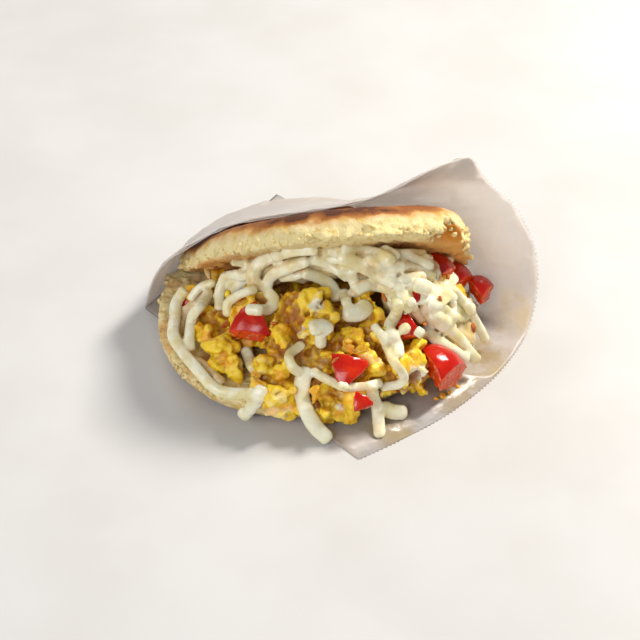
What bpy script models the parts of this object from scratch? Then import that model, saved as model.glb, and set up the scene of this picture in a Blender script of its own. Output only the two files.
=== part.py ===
"""Filled arepa: a split corn cake opened like a clam, heaped with egg, tomato and cheese, in its paper bag.

Metres, +Z up. The origin is under the middle of the lower half, on the face that the bag rests on.
The mouth of the bread faces -Y, the uncut stretch that hinges its two halves is at +Y.
"""

import math

import bmesh
import bpy
import numpy as np
from mathutils import Euler, Matrix, Vector, noise
from mathutils.bvhtree import BVHTree

MM = 0.001
GAP = 0.35 * MM  # air kept between neighbouring pieces
CURVE_SAMPLES = 16  # on each stretch of a smooth path

# Bread
BREAD_RADIUS = 66 * MM
BREAD_THICKNESS = 27 * MM
BREAD_EDGE = 12 * MM  # width of the rounded rim
BREAD_EDGE_POWER = 2.5  # 2 is a round rim, more is squarer
FACE_DOME = 0.8 * MM  # rise of the upper face towards its middle
BREAD_STEPS = 48
RIM_STEPS = 12
BREAD_SWELL = 0.06  # the front left of the cake stands out by this share of its radius
SWELL_TURN = math.radians(-120)
BREAD_WAVES = ((2, 0.010, 0.6), (5, 0.006, 0), (9, 0.004, 1))  # count round the rim, height, phase
BREAD_BASE = 0.75 * MM  # the lower face lies on the bag's bottom ply

# Cut through the bread
CUT_HEIGHT = 12.5 * MM
CUT_GAP = 1.4 * MM
CUT_DIP = 3.5 * MM  # the knife wandered down on the right, so the lid is thicker there
CUT_WAVE = 0.8 * MM
CUT_CELLS = (20, 16)
SHEET_REACH = 1.15 * BREAD_RADIUS  # the knife passes beyond the rim
HINGE_Y = 42 * MM  # the cut stops on this chord

# Opened lid
LID_ANGLE = math.radians(48)
LID_BEND = 36 * MM  # length over which the crust bends at the hinge
LID_DROOP = math.radians(4)  # how far the lid flattens again towards its lip
LID_ROLL = math.radians(6)  # the right end stands higher
LID_SHIFT = 21 * MM  # sideways slip of the lip
LID_NARROWING = 0.08
LID_LENGTH = BREAD_RADIUS + HINGE_Y
LID_DROOP_STEPS = 8

# Bag: two plies of greaseproof paper, closed along its two rear sides
PAPER_THICKNESS = 0.35 * MM
PAPER_CLEARANCE = 2.2 * MM  # from the bread's crust to the middle of the ply
PAPER_CELLS = (13, 26)  # from the seam to the mouth, and round the mouth
PAPER_BULGE = Vector((0, 30, 40)) * MM  # the upper ply starts this far out and tightens onto the bread
PAPER_RELAXING = 60
PAPER_EASE = 0.8  # how far one relaxing step goes
PROBE = Vector((0.31, 0.52, 0.80))  # direction of the rays that tell inside from outside
PAPER_LIFT = (74 * MM, 102 * MM)  # the lower ply starts and ends its rise this far from the middle
PAPER_CORNERS = {
    "left": Vector((-75, 14, 0)) * MM,
    "back": Vector((-16, 104, 0)) * MM,
    "front": Vector((22, -87, 0)) * MM,
}
# The mouth of the bag, from its front corner round its right side up to the free tip over the lid
MOUTH = ((22, -87, 0), (43, -73, 0), (64, -56, 0), (83, -34, 0), (97, -10, 1), (103, 4, 10),
         (104, 11, 24), (101, 14, 38), (91, 15, 58), (79, 11, 72), (70, 6, 91))
# The free edge of the upper ply, from the left corner up past the lid's end and along its back
UPPER_EDGE = ((-75, 14, 0), (-72, 10, 14), (-69, 8, 25), (-63, 6, 34), (-54, 2, 44), (-42, -3, 53),
              (-28, -7, 62), (-5, -12, 70), (16, -16, 79), (34, -17, 87), (52, -8, 93), (70, 6, 91))

# Filling: middle and radius of each lump, in mm
EGG_LUMPS = (
    (-1, -36, 38, 13), (-23, -25, 31, 13), (-42, -16, 19, 10), (-36, -36, 17, 11), (-10, -46, 28, 12),
    (20, -49, 26, 12), (31, -52, 19, 11), (45, -46, 15, 12), (-12, -61, 15, 11), (8, -64, 13, 11),
    (-2, -10, 26, 24), (16, 8, 26, 22), (26, -26, 26, 20), (-22, 2, 20, 15), (42, -8, 22, 16),
    (2, -42, 18, 18),
)
CHEESE_LUMPS = (
    (-18, -14, 42, 11), (-4, -18, 50, 12), (14, -18, 54, 13), (32, -15, 52, 13), (46, -12, 45, 13),
    (40, -28, 38, 11), (54, -26, 29, 11), (62, -14, 24, 11), (68, -22, 13, 10), (60, -36, 14, 9),
    (70, -4, 12, 9), (58, 2, 32, 10), (54, -11, 33, 11), (72, 5, 10, 8), (-31, -12, 33, 9), (-43, -8, 24, 8),
    (-53, -10, 19, 7), (-57, -22, 17, 7), (-55, -34, 17, 7), (-47, -45, 17, 7), (-37, -54, 16, 7),
)
LUMP_SOFTENING = 3
LUMP_THINNING = 0.34  # share of the faces that stays
EGG_CELL = 4.2 * MM
CHEESE_CELL = 3.6 * MM
FILLING_FLOOR = 1.2 * MM
LUMP_WRINKLE = 9 * MM  # size of the unevenness of a heap's surface
LUMP_ROUGHNESS = 2 * MM

# Tomato: name, middle (mm), length, width and height (mm), turn about X, Y and Z (degrees)
TOMATOES = (
    ("tomato_left_wedge", (-24, -39, 34), (17, 13, 9), (48, 8, -14)),
    ("tomato_pocket_slices", (58, -6, 37), (14, 9, 9), (20, 25, 30)),
    ("tomato_rim_wedge", (68, 6, 23), (11, 10, 9), (35, 20, 25)),
    ("tomato_outer_wedge", (78, 7, 15), (12, 10, 8), (45, 35, 20)),
    ("tomato_upper_strip", (46, -34, 45), (8, 15, 6), (50, 20, 15)),
    ("tomato_middle_strip", (43, -40, 33), (9, 13, 7), (55, 10, -25)),
    ("tomato_front_wedge", (58, -47, 13), (17, 14, 14), (30, 25, 40)),
    ("tomato_centre_chunk", (18, -62, 26), (14, 11, 11), (40, 0, 20)),
    ("tomato_left_chip", (-54, -3, 18), (9, 8, 7), (30, 10, -30)),
    ("tomato_pocket_chunk", (-38, 5, 21), (12, 9, 8), (20, -10, 40)),
    ("tomato_small_chip", (24, -70, 17), (8, 7, 6), (40, 20, 10)),
)
TOMATO_TAPER = 0.45  # how far the cut side is narrower than the skin side
TOMATO_ROUNDING = 1.6 * MM

BREAD_COLOUR = (0.78, 0.60, 0.30, 1)
EGG_COLOUR = (0.87, 0.55, 0.06, 1)
CHEESE_COLOUR = (0.86, 0.80, 0.62, 1)
TOMATO_COLOUR = (0.62, 0.04, 0.02, 1)
PAPER_COLOUR = (0.86, 0.83, 0.78, 1)


def clear_scene():
    """Removes what the scene starts with."""
    for obj in list(bpy.data.objects):
        bpy.data.objects.remove(obj, do_unlink=True)


def collection(name):
    """A new collection of the scene."""
    made = bpy.data.collections.new(name)
    bpy.context.scene.collection.children.link(made)
    return made


def material(name, colour, roughness):
    """A Principled material."""
    made = bpy.data.materials.new(name)
    made.use_nodes = True
    shader = made.node_tree.nodes["Principled BSDF"]
    shader.inputs["Base Color"].default_value = colour
    shader.inputs["Roughness"].default_value = roughness
    made.diffuse_color = colour
    return made


def add_object(name, mesh, home, finish=None):
    """An object for this mesh in the collection `home`, shaded smooth."""
    made = bpy.data.objects.new(name, mesh)
    home.objects.link(made)
    mesh.materials.clear()
    if finish:
        mesh.materials.append(finish)
    mesh.shade_smooth()
    return made


def evaluated_mesh(obj):
    """The object's mesh with its modifiers applied."""
    bpy.context.view_layer.update()
    graph = bpy.context.evaluated_depsgraph_get()
    return bpy.data.meshes.new_from_object(obj.evaluated_get(graph), depsgraph=graph)


def bake(obj):
    """Applies the object's modifiers to its mesh."""
    mesh = evaluated_mesh(obj)
    obj.modifiers.clear()
    obj.data = mesh


def smoothstep(low, high, value):
    """0 below `low`, 1 above `high`, smooth between."""
    share = min(max((value - low) / (high - low), 0), 1)
    return share * share * (3 - 2 * share)


def smooth_path(points, count):
    """`count` + 1 even points on a Catmull-Rom curve through `points`."""
    points = [Vector(p) for p in points]
    ends = [2 * points[0] - points[1], *points, 2 * points[-1] - points[-2]]
    fine = []
    for a, b, c, d in zip(ends, ends[1:], ends[2:], ends[3:]):
        for step in range(CURVE_SAMPLES):
            t = step / CURVE_SAMPLES
            bend = 2 * a - 5 * b + 4 * c - d
            swing = 3 * b - a - 3 * c + d
            fine.append(0.5 * (2 * b + (c - a) * t + bend * t**2 + swing * t**3))
    fine.append(points[-1])
    lengths = np.cumsum([0] + [(q - p).length for p, q in zip(fine, fine[1:])])
    places = np.linspace(0, lengths[-1], count + 1)
    return [Vector([np.interp(s, lengths, [p[axis] for p in fine]) for axis in range(3)]) for s in places]


# Bread


def bread_profile():
    """Half a section of the uncut cake, from the middle of its upper face round to the lower one's."""
    flat = BREAD_RADIUS - BREAD_EDGE
    half = BREAD_THICKNESS / 2
    rings = [0, 0.3 * flat, 0.55 * flat, 0.8 * flat]
    upper = [(r, half + FACE_DOME * (1 - (r / flat) ** 2)) for r in rings]
    rim = []
    for step in range(RIM_STEPS + 1):
        turn = math.pi / 2 - math.pi * step / RIM_STEPS
        out = abs(math.cos(turn)) ** (2 / BREAD_EDGE_POWER)
        rise = math.copysign(abs(math.sin(turn)) ** (2 / BREAD_EDGE_POWER), turn)
        rim.append((flat + BREAD_EDGE * out, half * rise))
    lower = [(r, -half) for r in reversed(rings)]
    return upper + rim + lower


def turned_cake(home):
    """The uncut cake, turned from its profile, with a rim that isn't quite round."""
    mesh = bpy.data.meshes.new("cake")
    points = [(r, 0, z + BREAD_THICKNESS / 2) for r, z in bread_profile()]
    mesh.from_pydata(points, [(i, i + 1) for i in range(len(points) - 1)], [])
    cake = add_object("arepa_bread", mesh, home)
    screw = cake.modifiers.new("turn", "SCREW")
    screw.steps = BREAD_STEPS
    screw.render_steps = BREAD_STEPS
    screw.use_merge_vertices = True
    screw.merge_threshold = 0.00005
    bake(cake)
    for vertex in cake.data.vertices:
        turn = math.atan2(vertex.co.y, vertex.co.x)
        stretch = 1 + BREAD_SWELL * max(math.cos(turn - SWELL_TURN), 0) ** 2
        for waves, share, phase in BREAD_WAVES:
            stretch += share * math.sin(waves * turn + phase)
        vertex.co.x *= stretch
        vertex.co.y *= stretch
    return cake


def cut_height(x, y):
    """Height of the cut over the base of the bread."""
    dip = CUT_DIP * smoothstep(0.3 * BREAD_RADIUS, 0.95 * BREAD_RADIUS, x)
    wave = CUT_WAVE * noise.noise(Vector((x, y, 0)) * 70)
    return CUT_HEIGHT - dip + wave


def cut_sheet(home):
    """The thin wavy body that the knife takes out."""
    bpy.ops.mesh.primitive_grid_add(x_subdivisions=CUT_CELLS[0], y_subdivisions=CUT_CELLS[1], size=1)
    sheet = bpy.context.object
    sheet.name = "cut_sheet"
    for owner in list(sheet.users_collection):
        owner.objects.unlink(sheet)
    home.objects.link(sheet)
    front = -SHEET_REACH
    for vertex in sheet.data.vertices:
        x = vertex.co.x * 2 * SHEET_REACH
        y = front + (vertex.co.y + 0.5) * (HINGE_Y - front)
        vertex.co = (x, y, cut_height(x, y) - CUT_GAP / 2)
    thick = sheet.modifiers.new("thickness", "SOLIDIFY")
    thick.thickness = CUT_GAP
    thick.offset = 1
    return sheet


def lid_place(x, y, height):
    """Where a point of the lid goes as it opens. `height` is over the cut."""
    along = HINGE_Y - y
    bend = LID_ANGLE / LID_BEND
    turn = bend * min(along, LID_BEND)
    back = math.sin(turn) / bend
    up = (1 - math.cos(turn)) / bend
    rest = along - LID_BEND
    if rest > 0:
        droop = LID_DROOP / (LID_LENGTH - LID_BEND)
        turn = LID_ANGLE - droop * rest
        for step in range(LID_DROOP_STEPS):
            angle = LID_ANGLE - droop * rest * (step + 0.5) / LID_DROOP_STEPS
            back += math.cos(angle) * rest / LID_DROOP_STEPS
            up += math.sin(angle) * rest / LID_DROOP_STEPS
    share = min(along / LID_LENGTH, 1)
    side = x * (1 - LID_NARROWING * smoothstep(0, 0.5, share)) + LID_SHIFT * share
    roll = x * math.sin(LID_ROLL) * smoothstep(0, 0.55, share)
    return Vector((side, HINGE_Y - back + height * math.sin(turn), up + roll + height * math.cos(turn)))


def open_lid(cake):
    """Bends all that lies over the cut up and back about the hinge."""
    for vertex in cake.data.vertices:
        x, y, z = vertex.co
        level = cut_height(x, y)
        if y < HINGE_Y and z > level:
            vertex.co = lid_place(x, y, z - level) + Vector((0, 0, level))
        vertex.co.z += BREAD_BASE


def make_bread(home, guides, finish):
    """The split and opened cake."""
    cake = turned_cake(home)
    sheet = cut_sheet(guides)
    cut = cake.modifiers.new("cut", "BOOLEAN")
    cut.object = sheet
    cut.operation = "DIFFERENCE"
    bake(cake)
    open_lid(cake)
    hide(sheet)
    cake.data.materials.clear()
    cake.data.materials.append(finish)
    cake.data.shade_smooth()
    return cake


# Cutting pieces to each other


def hide(obj):
    """Marks a cutter, which is no part of the model."""
    obj.hide_render = True
    obj.display_type = "WIRE"


def swollen(pieces, name, home, by=GAP):
    """A cutter of these pieces' shape, larger by `by` all round."""
    joined = bmesh.new()
    for piece in pieces:
        shape = bmesh.new()
        shape.from_mesh(evaluated_mesh(piece))
        shape.transform(piece.matrix_world)
        bmesh.ops.remove_doubles(shape, verts=shape.verts, dist=0.00001)
        bmesh.ops.recalc_face_normals(shape, faces=shape.faces)
        shape.normal_update()
        for vertex in shape.verts:
            vertex.co += vertex.normal * by * min(vertex.calc_shell_factor(), 2)
        mesh = bpy.data.meshes.new("shape")
        shape.to_mesh(mesh)
        joined.from_mesh(mesh)
        shape.free()
    mesh = bpy.data.meshes.new(name)
    joined.to_mesh(mesh)
    joined.free()
    made = add_object(name, mesh, home)
    hide(made)
    return made


def subtract(obj, cutter):
    """Cuts `cutter` out of `obj`."""
    cut = obj.modifiers.new("cut", "BOOLEAN")
    cut.object = cutter
    cut.operation = "DIFFERENCE"
    cut.solver = "MANIFOLD"
    bake(obj)


def keep_main_body(obj):
    """Deletes the crumbs that cutting leaves, so that one body stays."""
    shape = bmesh.new()
    shape.from_mesh(obj.data)
    bmesh.ops.remove_doubles(shape, verts=shape.verts, dist=0.000001)
    left = set(shape.verts)
    bodies = []
    while left:
        body = {left.pop()}
        front = list(body)
        while front:
            for edge in front.pop().link_edges:
                for vertex in edge.verts:
                    if vertex in left:
                        left.remove(vertex)
                        body.add(vertex)
                        front.append(vertex)
        bodies.append(body)
    main = max(bodies, key=len)
    bmesh.ops.delete(shape, geom=[v for v in shape.verts if v not in main], context="VERTS")
    shape.to_mesh(obj.data)
    shape.free()
    obj.data.shade_smooth()


def floor_block(home):
    """The cutter that keeps the filling off the bag's bottom ply."""
    bpy.ops.mesh.primitive_cube_add(size=0.4, location=(0, 0, FILLING_FLOOR - 0.2))
    block = bpy.context.object
    block.name = "floor_block"
    for owner in list(block.users_collection):
        owner.objects.unlink(block)
    home.objects.link(block)
    hide(block)
    return block


# Filling


def make_heap(name, lumps, cell, home, finish):
    """One lumpy body that runs through all the given lumps. `cell` is the size of its faces."""
    shape = bmesh.new()
    for x, y, z, radius in lumps:
        place = Matrix.Translation(Vector((x, y, z)) * MM)
        bmesh.ops.create_icosphere(shape, subdivisions=3, radius=radius * MM, matrix=place)
    mesh = bpy.data.meshes.new(name)
    shape.to_mesh(mesh)
    shape.free()
    heap = add_object(name, mesh, home)
    merge = heap.modifiers.new("merge", "REMESH")
    merge.mode = "VOXEL"
    merge.voxel_size = cell
    soften = heap.modifiers.new("soften", "SMOOTH")
    soften.factor = 0.5
    soften.iterations = LUMP_SOFTENING
    thin = heap.modifiers.new("thin", "DECIMATE")
    thin.ratio = LUMP_THINNING
    bake(heap)
    offsets = [v.normal * noise.noise(v.co / LUMP_WRINKLE) * LUMP_ROUGHNESS for v in heap.data.vertices]
    for vertex, offset in zip(heap.data.vertices, offsets):
        vertex.co += offset
    heap.data.materials.append(finish)
    return heap


def make_tomato(name, middle, size, turn, home, finish):
    """A cut piece of tomato: skin on its broad upper side, narrower towards the core."""
    shape = bmesh.new()
    bmesh.ops.create_cube(shape, size=1)
    bmesh.ops.subdivide_edges(shape, edges=shape.edges, cuts=1, use_grid_fill=True)
    for vertex in shape.verts:
        x, y, z = vertex.co
        narrow = 1 - TOMATO_TAPER * (0.5 - z)
        bow = 0.22 * (1 - 4 * x * x) * (z + 0.5)
        vertex.co = (x * size[0] * MM, y * narrow * size[1] * MM, (z + bow) * size[2] * MM)
    rim = [edge for edge in shape.edges if edge.calc_face_angle(0) > 0.9]
    bmesh.ops.bevel(shape, geom=rim, offset=TOMATO_ROUNDING, segments=2, affect="EDGES")
    bmesh.ops.remove_doubles(shape, verts=shape.verts, dist=0.00005)
    mesh = bpy.data.meshes.new(name)
    shape.to_mesh(mesh)
    shape.free()
    made = add_object(name, mesh, home, finish)
    made.location = Vector(middle) * MM
    made.rotation_euler = Euler([math.radians(angle) for angle in turn])
    bpy.context.view_layer.update()
    return made


# Bag


def inside(tree, point):
    """Whether a ray from this point leaves the body an odd number of times."""
    hits = 0
    start = point
    while True:
        hit = tree.ray_cast(start, PROBE)[0]
        if hit is None:
            return hits % 2 == 1
        hits += 1
        start = hit + PROBE * 0.01 * MM


def clear_of(tree, point, clearance):
    """`point`, moved out to `clearance` from the bread's crust if it is nearer or inside."""
    near, normal, _, distance = tree.find_nearest(point)
    if inside(tree, point):
        return near + normal * clearance
    if distance >= clearance:
        return point
    return near + (point - near).normalized() * clearance


def patch_point(sides, row, column, rows, columns):
    """A point of the smooth patch between four edges: its first and last column, its first and last row."""
    first_column, last_column, first_row, last_row = sides
    across = column / columns
    down = row / rows
    between_columns = first_column[row].lerp(last_column[row], across)
    between_rows = first_row[column].lerp(last_row[column], down)
    start = first_column[0].lerp(last_column[0], across)
    end = first_column[-1].lerp(last_column[-1], across)
    return between_columns + between_rows - start.lerp(end, down)


def laid(point):
    """A point of the lower ply, which lies flat until it is well clear of the bread."""
    reach = Vector((point.x, point.y)).length
    return Vector((point.x, point.y, point.z * smoothstep(*PAPER_LIFT, reach)))


def bag_points(bread):
    """The bag's middle surface as rows from the seam to the mouth, each from the front corner to the tip."""
    across, around = PAPER_CELLS
    half = around // 2
    corner = PAPER_CORNERS
    seam = [corner["left"].lerp(corner["back"], i / half) for i in range(half + 1)]
    mouth = [p * MM for p in smooth_path(MOUTH, around)]
    upper = [p * MM for p in smooth_path(UPPER_EDGE, across)]
    fold = [laid(corner["back"].lerp(mouth[half], i / across)) for i in range(across + 1)]
    front = [corner["left"].lerp(mouth[0], i / across) for i in range(across + 1)]
    lower_sides = (front, fold, seam, mouth[: half + 1])
    upper_sides = (fold, upper, seam[::-1], mouth[half:])
    rows = []
    for i in range(across + 1):
        row = [laid(patch_point(lower_sides, i, j, across, half)) for j in range(half)]
        for j in range(half + 1):
            share = j / half
            bulge = 4 * share * (1 - share) * math.sin(math.pi * i / across)
            row.append(patch_point(upper_sides, i, j, across, half) + PAPER_BULGE * bulge)
        rows.append(row)
    tree = BVHTree.FromObject(bread, bpy.context.evaluated_depsgraph_get())
    for row in rows:
        row[-1] = clear_of(tree, row[-1], PAPER_CLEARANCE)
    for _ in range(PAPER_RELAXING):
        rows = relaxed(rows, tree)
    return rows


def relaxed(rows, tree):
    """One smoothing step of the upper ply, kept clear of the bread. Its seam, mouth and free edge stay."""
    across, around = PAPER_CELLS
    half = around // 2
    result = [list(row) for row in rows]
    for i in range(1, across):
        for j in range(half + 1, around):
            mean = (rows[i - 1][j] + rows[i + 1][j] + rows[i][j - 1] + rows[i][j + 1]) / 4
            result[i][j] = clear_of(tree, rows[i][j].lerp(mean, PAPER_EASE), PAPER_CLEARANCE)
    for i in range(across):
        for j in range(half, around):
            corners = ((i, j), (i + 1, j), (i, j + 1), (i + 1, j + 1))
            middle = sum((result[a][b] for a, b in corners), Vector()) / 4
            push = clear_of(tree, middle, PAPER_CLEARANCE) - middle
            for a, b in corners:
                if 0 < a < across and half < b < around:
                    result[a][b] = result[a][b] + push
    return result


def make_bag(bread, home, finish):
    """The bag as one thin sheet: a ply under the bread, a fold at the right and a ply over the lid."""
    rows = bag_points(bread)
    around = len(rows[0])
    shape = bmesh.new()
    grid = [[shape.verts.new(point) for point in row] for row in rows]
    for low, high in zip(grid, grid[1:]):
        for j in range(around - 1):
            shape.faces.new((low[j], high[j], high[j + 1], low[j + 1]))
    bmesh.ops.remove_doubles(shape, verts=grid[0], dist=0.00001)
    for vertex in shape.verts:
        vertex.co.z = max(vertex.co.z, 0)
    mesh = bpy.data.meshes.new("paper_bag")
    shape.to_mesh(mesh)
    shape.free()
    bag = add_object("paper_bag", mesh, home, finish)
    thick = bag.modifiers.new("thickness", "SOLIDIFY")
    thick.thickness = PAPER_THICKNESS
    thick.offset = 1
    return bag


def main():
    clear_scene()
    parts = collection("filled_arepa")
    guides = collection("cutters")
    bread = make_bread(parts, guides, material("toasted_corn_bread", BREAD_COLOUR, 0.8))
    red = material("tomato_flesh", TOMATO_COLOUR, 0.3)
    tomatoes = [make_tomato(*row, parts, red) for row in TOMATOES]
    cheese = make_heap("cheese_heap", CHEESE_LUMPS, CHEESE_CELL, parts,
                       material("melting_cheese", CHEESE_COLOUR, 0.35))
    egg = make_heap("egg_filling", EGG_LUMPS, EGG_CELL, parts,
                    material("scrambled_egg", EGG_COLOUR, 0.45))
    cutters = [
        swollen([bread], "bread_cutter", guides),
        swollen(tomatoes, "tomato_cutter", guides),
        floor_block(guides),
    ]
    for cutter in cutters:
        subtract(cheese, cutter)
    keep_main_body(cheese)
    cutters.append(swollen([cheese], "cheese_cutter", guides, 2 * GAP))
    cutters.append(swollen([cheese], "cheese_crease_cutter", guides, 0.3 * GAP))
    for cutter in cutters:
        subtract(egg, cutter)
    keep_main_body(egg)
    make_bag(bread, parts, material("greaseproof_paper", PAPER_COLOUR, 0.5))


main()
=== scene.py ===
"""Looks of a filled arepa: a split corn cake heaped with egg, tomato and cheese, in a greaseproof bag.

Metres, +Z up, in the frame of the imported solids. Places given in tuples are in millimetres.
The mouth of the bread faces -Y and its hinge is at +Y.
"""

import logging
import math
import random
from dataclasses import dataclass, field
from enum import Enum
from typing import Callable, Sequence

import bmesh
import bpy
import numpy as np
from mathutils import Euler, Matrix, Vector, noise
from mathutils.bvhtree import BVHTree


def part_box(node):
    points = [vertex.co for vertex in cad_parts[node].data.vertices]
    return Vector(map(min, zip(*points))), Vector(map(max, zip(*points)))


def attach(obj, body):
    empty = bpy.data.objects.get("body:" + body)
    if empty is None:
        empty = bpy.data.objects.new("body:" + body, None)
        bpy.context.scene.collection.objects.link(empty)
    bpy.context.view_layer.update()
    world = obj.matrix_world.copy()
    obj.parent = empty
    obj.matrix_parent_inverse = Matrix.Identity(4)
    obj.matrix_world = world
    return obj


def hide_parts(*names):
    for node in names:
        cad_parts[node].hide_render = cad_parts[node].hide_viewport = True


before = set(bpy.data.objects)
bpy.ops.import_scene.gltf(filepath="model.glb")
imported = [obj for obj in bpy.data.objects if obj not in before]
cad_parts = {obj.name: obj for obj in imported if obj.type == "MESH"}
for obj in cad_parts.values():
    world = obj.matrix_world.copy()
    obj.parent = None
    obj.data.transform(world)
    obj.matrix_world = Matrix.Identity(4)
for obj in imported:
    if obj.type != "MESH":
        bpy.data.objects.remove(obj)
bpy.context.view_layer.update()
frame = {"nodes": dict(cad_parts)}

MM = 0.001
SEED = 7
ROOT = "root"

log = logging.getLogger("filled_arepa")

Colour = tuple[float, float, float, float]
Point = tuple[float, float, float]


class Slot(Enum):
    """The material slots."""

    BREAD = "bread"
    EGG = "egg"
    CHEESE = "cheese"
    TOMATO = "tomato"
    PAPER = "paper"


class Kind(Enum):
    """How far a shred of cheese has melted: its height over its width."""

    FIRM = 0.58
    SOFT = 0.48
    MELTED = 0.34


# Colours


def shade(red: int, green: int, blue: int) -> Colour:
    """A linear colour from its display values.

    Args:
        red: Display value from 0 to 255.
        green: Display value from 0 to 255.
        blue: Display value from 0 to 255.

    Returns:
        The linear colour with full alpha.
    """
    linear = [((v / 255 + 0.055) / 1.055) ** 2.4 if v > 10 else v / 255 / 12.92 for v in (red, green, blue)]
    return (linear[0], linear[1], linear[2], 1.0)


# Shader building


class Shader:
    """A material under construction, with short calls for the nodes that the finishes share."""

    def __init__(self, name: str) -> None:
        """Makes the material with one Principled shader.

        Args:
            name: Name of the material.
        """
        self.material = bpy.data.materials.new(name)
        self.material.use_nodes = True
        self.tree = self.material.node_tree
        self.principled = self.tree.nodes["Principled BSDF"]
        self.place = self.tree.nodes.new("ShaderNodeTexCoord").outputs["Object"]

    def set(self, **values: object) -> None:
        """Sets constants on the Principled shader's own sockets.

        Args:
            values: Socket name with underscores for spaces, and its value.
        """
        for name, value in values.items():
            self.principled.inputs[name.replace("_", " ")].default_value = value

    def link(self, source: bpy.types.NodeSocket, target: bpy.types.NodeSocket) -> None:
        """Joins an output to an input."""
        self.tree.links.new(source, target)

    def feed(self, name: str, source: bpy.types.NodeSocket) -> None:
        """Joins an output to a socket of the Principled shader."""
        self.link(source, self.principled.inputs[name])

    def mask(self, attribute: str) -> bpy.types.NodeSocket:
        """A mask that the mesh carries.

        Args:
            attribute: Name of the mask.

        Returns:
            Its value.
        """
        node = self.tree.nodes.new("ShaderNodeAttribute")
        node.attribute_name = attribute
        return node.outputs["Fac"]

    def effect(self, group: bpy.types.NodeTree, **values: float) -> bpy.types.NodeSocket:
        """Places a shared effect.

        Args:
            group: The node group of the effect.
            values: Its inputs, by name.

        Returns:
            The group's output.
        """
        node = self.tree.nodes.new("ShaderNodeGroup")
        node.node_tree = group
        self.link(self.place, node.inputs["Place"])
        for name, value in values.items():
            node.inputs[name].default_value = value
        return node.outputs[0]

    def mottle(self, scale: float, detail: float, low: float, high: float) -> bpy.types.NodeSocket:
        """Soft patches: their size, their detail, and the ends of the noise that are cut off."""
        return self.effect(MOTTLE, Scale=scale, Detail=detail, Low=low, High=high)

    def grain(self, coarse: float, fine: float, share: float, depth: float) -> None:
        """Roughens the surface with two scales of grain, the fine one's share, and a depth in metres."""
        self.relief(self.effect(GRAIN, Coarse=coarse, Fine=fine, Share=share), depth)

    def scaled(self, mask: bpy.types.NodeSocket, factor: float) -> bpy.types.NodeSocket:
        """A mask times a factor, cut off at 1."""
        return self.maths("MULTIPLY", mask, factor)

    def maths(self, operation: str, first: object, second: object) -> bpy.types.NodeSocket:
        """A clamped sum, product or other operation of two values.

        Args:
            operation: Blender's name of the operation.
            first: An output, or a number.
            second: An output, or a number.

        Returns:
            The result.
        """
        node = self.tree.nodes.new("ShaderNodeMath")
        node.operation = operation
        node.use_clamp = True
        for socket, value in zip(node.inputs, (first, second)):
            if isinstance(value, (int, float)):
                socket.default_value = value
            else:
                self.link(value, socket)
        return node.outputs[0]

    def mix(self, amount: bpy.types.NodeSocket, low: object, high: object) -> bpy.types.NodeSocket:
        """A colour between two others.

        Args:
            amount: Share of the second colour.
            low: A colour or an output.
            high: A colour or an output.

        Returns:
            The mixed colour.
        """
        node = self.tree.nodes.new("ShaderNodeMix")
        node.data_type = "RGBA"
        self.link(amount, node.inputs[0])
        for socket, value in ((node.inputs[6], low), (node.inputs[7], high)):
            if isinstance(value, tuple):
                socket.default_value = value
            else:
                self.link(value, socket)
        return node.outputs[2]

    def between(self, amount: bpy.types.NodeSocket, low: float, high: float) -> bpy.types.NodeSocket:
        """Maps a mask to a range.

        Args:
            amount: The mask.
            low: What 0 becomes.
            high: What 1 becomes.

        Returns:
            The mapped value.
        """
        node = self.tree.nodes.new("ShaderNodeMapRange")
        node.inputs["To Min"].default_value = low
        node.inputs["To Max"].default_value = high
        self.link(amount, node.inputs["Value"])
        return node.outputs[0]

    def relief(self, height: bpy.types.NodeSocket, depth: float) -> None:
        """Roughens the surface.

        Args:
            height: The height mask.
            depth: Height of its full range in metres.
        """
        node = self.tree.nodes.new("ShaderNodeBump")
        node.inputs["Distance"].default_value = depth
        node.inputs["Strength"].default_value = 1.0
        self.link(height, node.inputs["Height"])
        self.feed("Normal", node.outputs["Normal"])


def new_group(name: str, inputs: dict[str, float]) -> tuple[bpy.types.NodeTree, dict, bpy.types.NodeSocket]:
    """An empty shader node group with a place, named values and one output.

    Args:
        name: Name of the group and of its output.
        inputs: Names and standard values of its inputs.

    Returns:
        The group, its input sockets by name, and the socket that its result goes into.
    """
    group = bpy.data.node_groups.new(name, "ShaderNodeTree")
    group.interface.new_socket("Place", in_out="INPUT", socket_type="NodeSocketVector")
    for label, value in inputs.items():
        group.interface.new_socket(label, in_out="INPUT", socket_type="NodeSocketFloat").default_value = value
    group.interface.new_socket(name, in_out="OUTPUT", socket_type="NodeSocketFloat")
    start = group.nodes.new("NodeGroupInput")
    end = group.nodes.new("NodeGroupOutput")
    return group, {socket.name: socket for socket in start.outputs}, end.inputs[0]


def mottle_group() -> bpy.types.NodeTree:
    """Soft patches: a noise with its low and high ends cut off.

    Returns:
        The group, with inputs Scale, Detail, Low and High.
    """
    group, given, result = new_group("Mottle", {"Scale": 100.0, "Detail": 4.0, "Low": 0.4, "High": 0.6})
    field_node = group.nodes.new("ShaderNodeTexNoise")
    cut = group.nodes.new("ShaderNodeMapRange")
    cut.interpolation_type = "SMOOTHSTEP"
    group.links.new(given["Place"], field_node.inputs["Vector"])
    group.links.new(given["Scale"], field_node.inputs["Scale"])
    group.links.new(given["Detail"], field_node.inputs["Detail"])
    group.links.new(field_node.outputs[0], cut.inputs["Value"])
    group.links.new(given["Low"], cut.inputs["From Min"])
    group.links.new(given["High"], cut.inputs["From Max"])
    group.links.new(cut.outputs[0], result)
    return group


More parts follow.
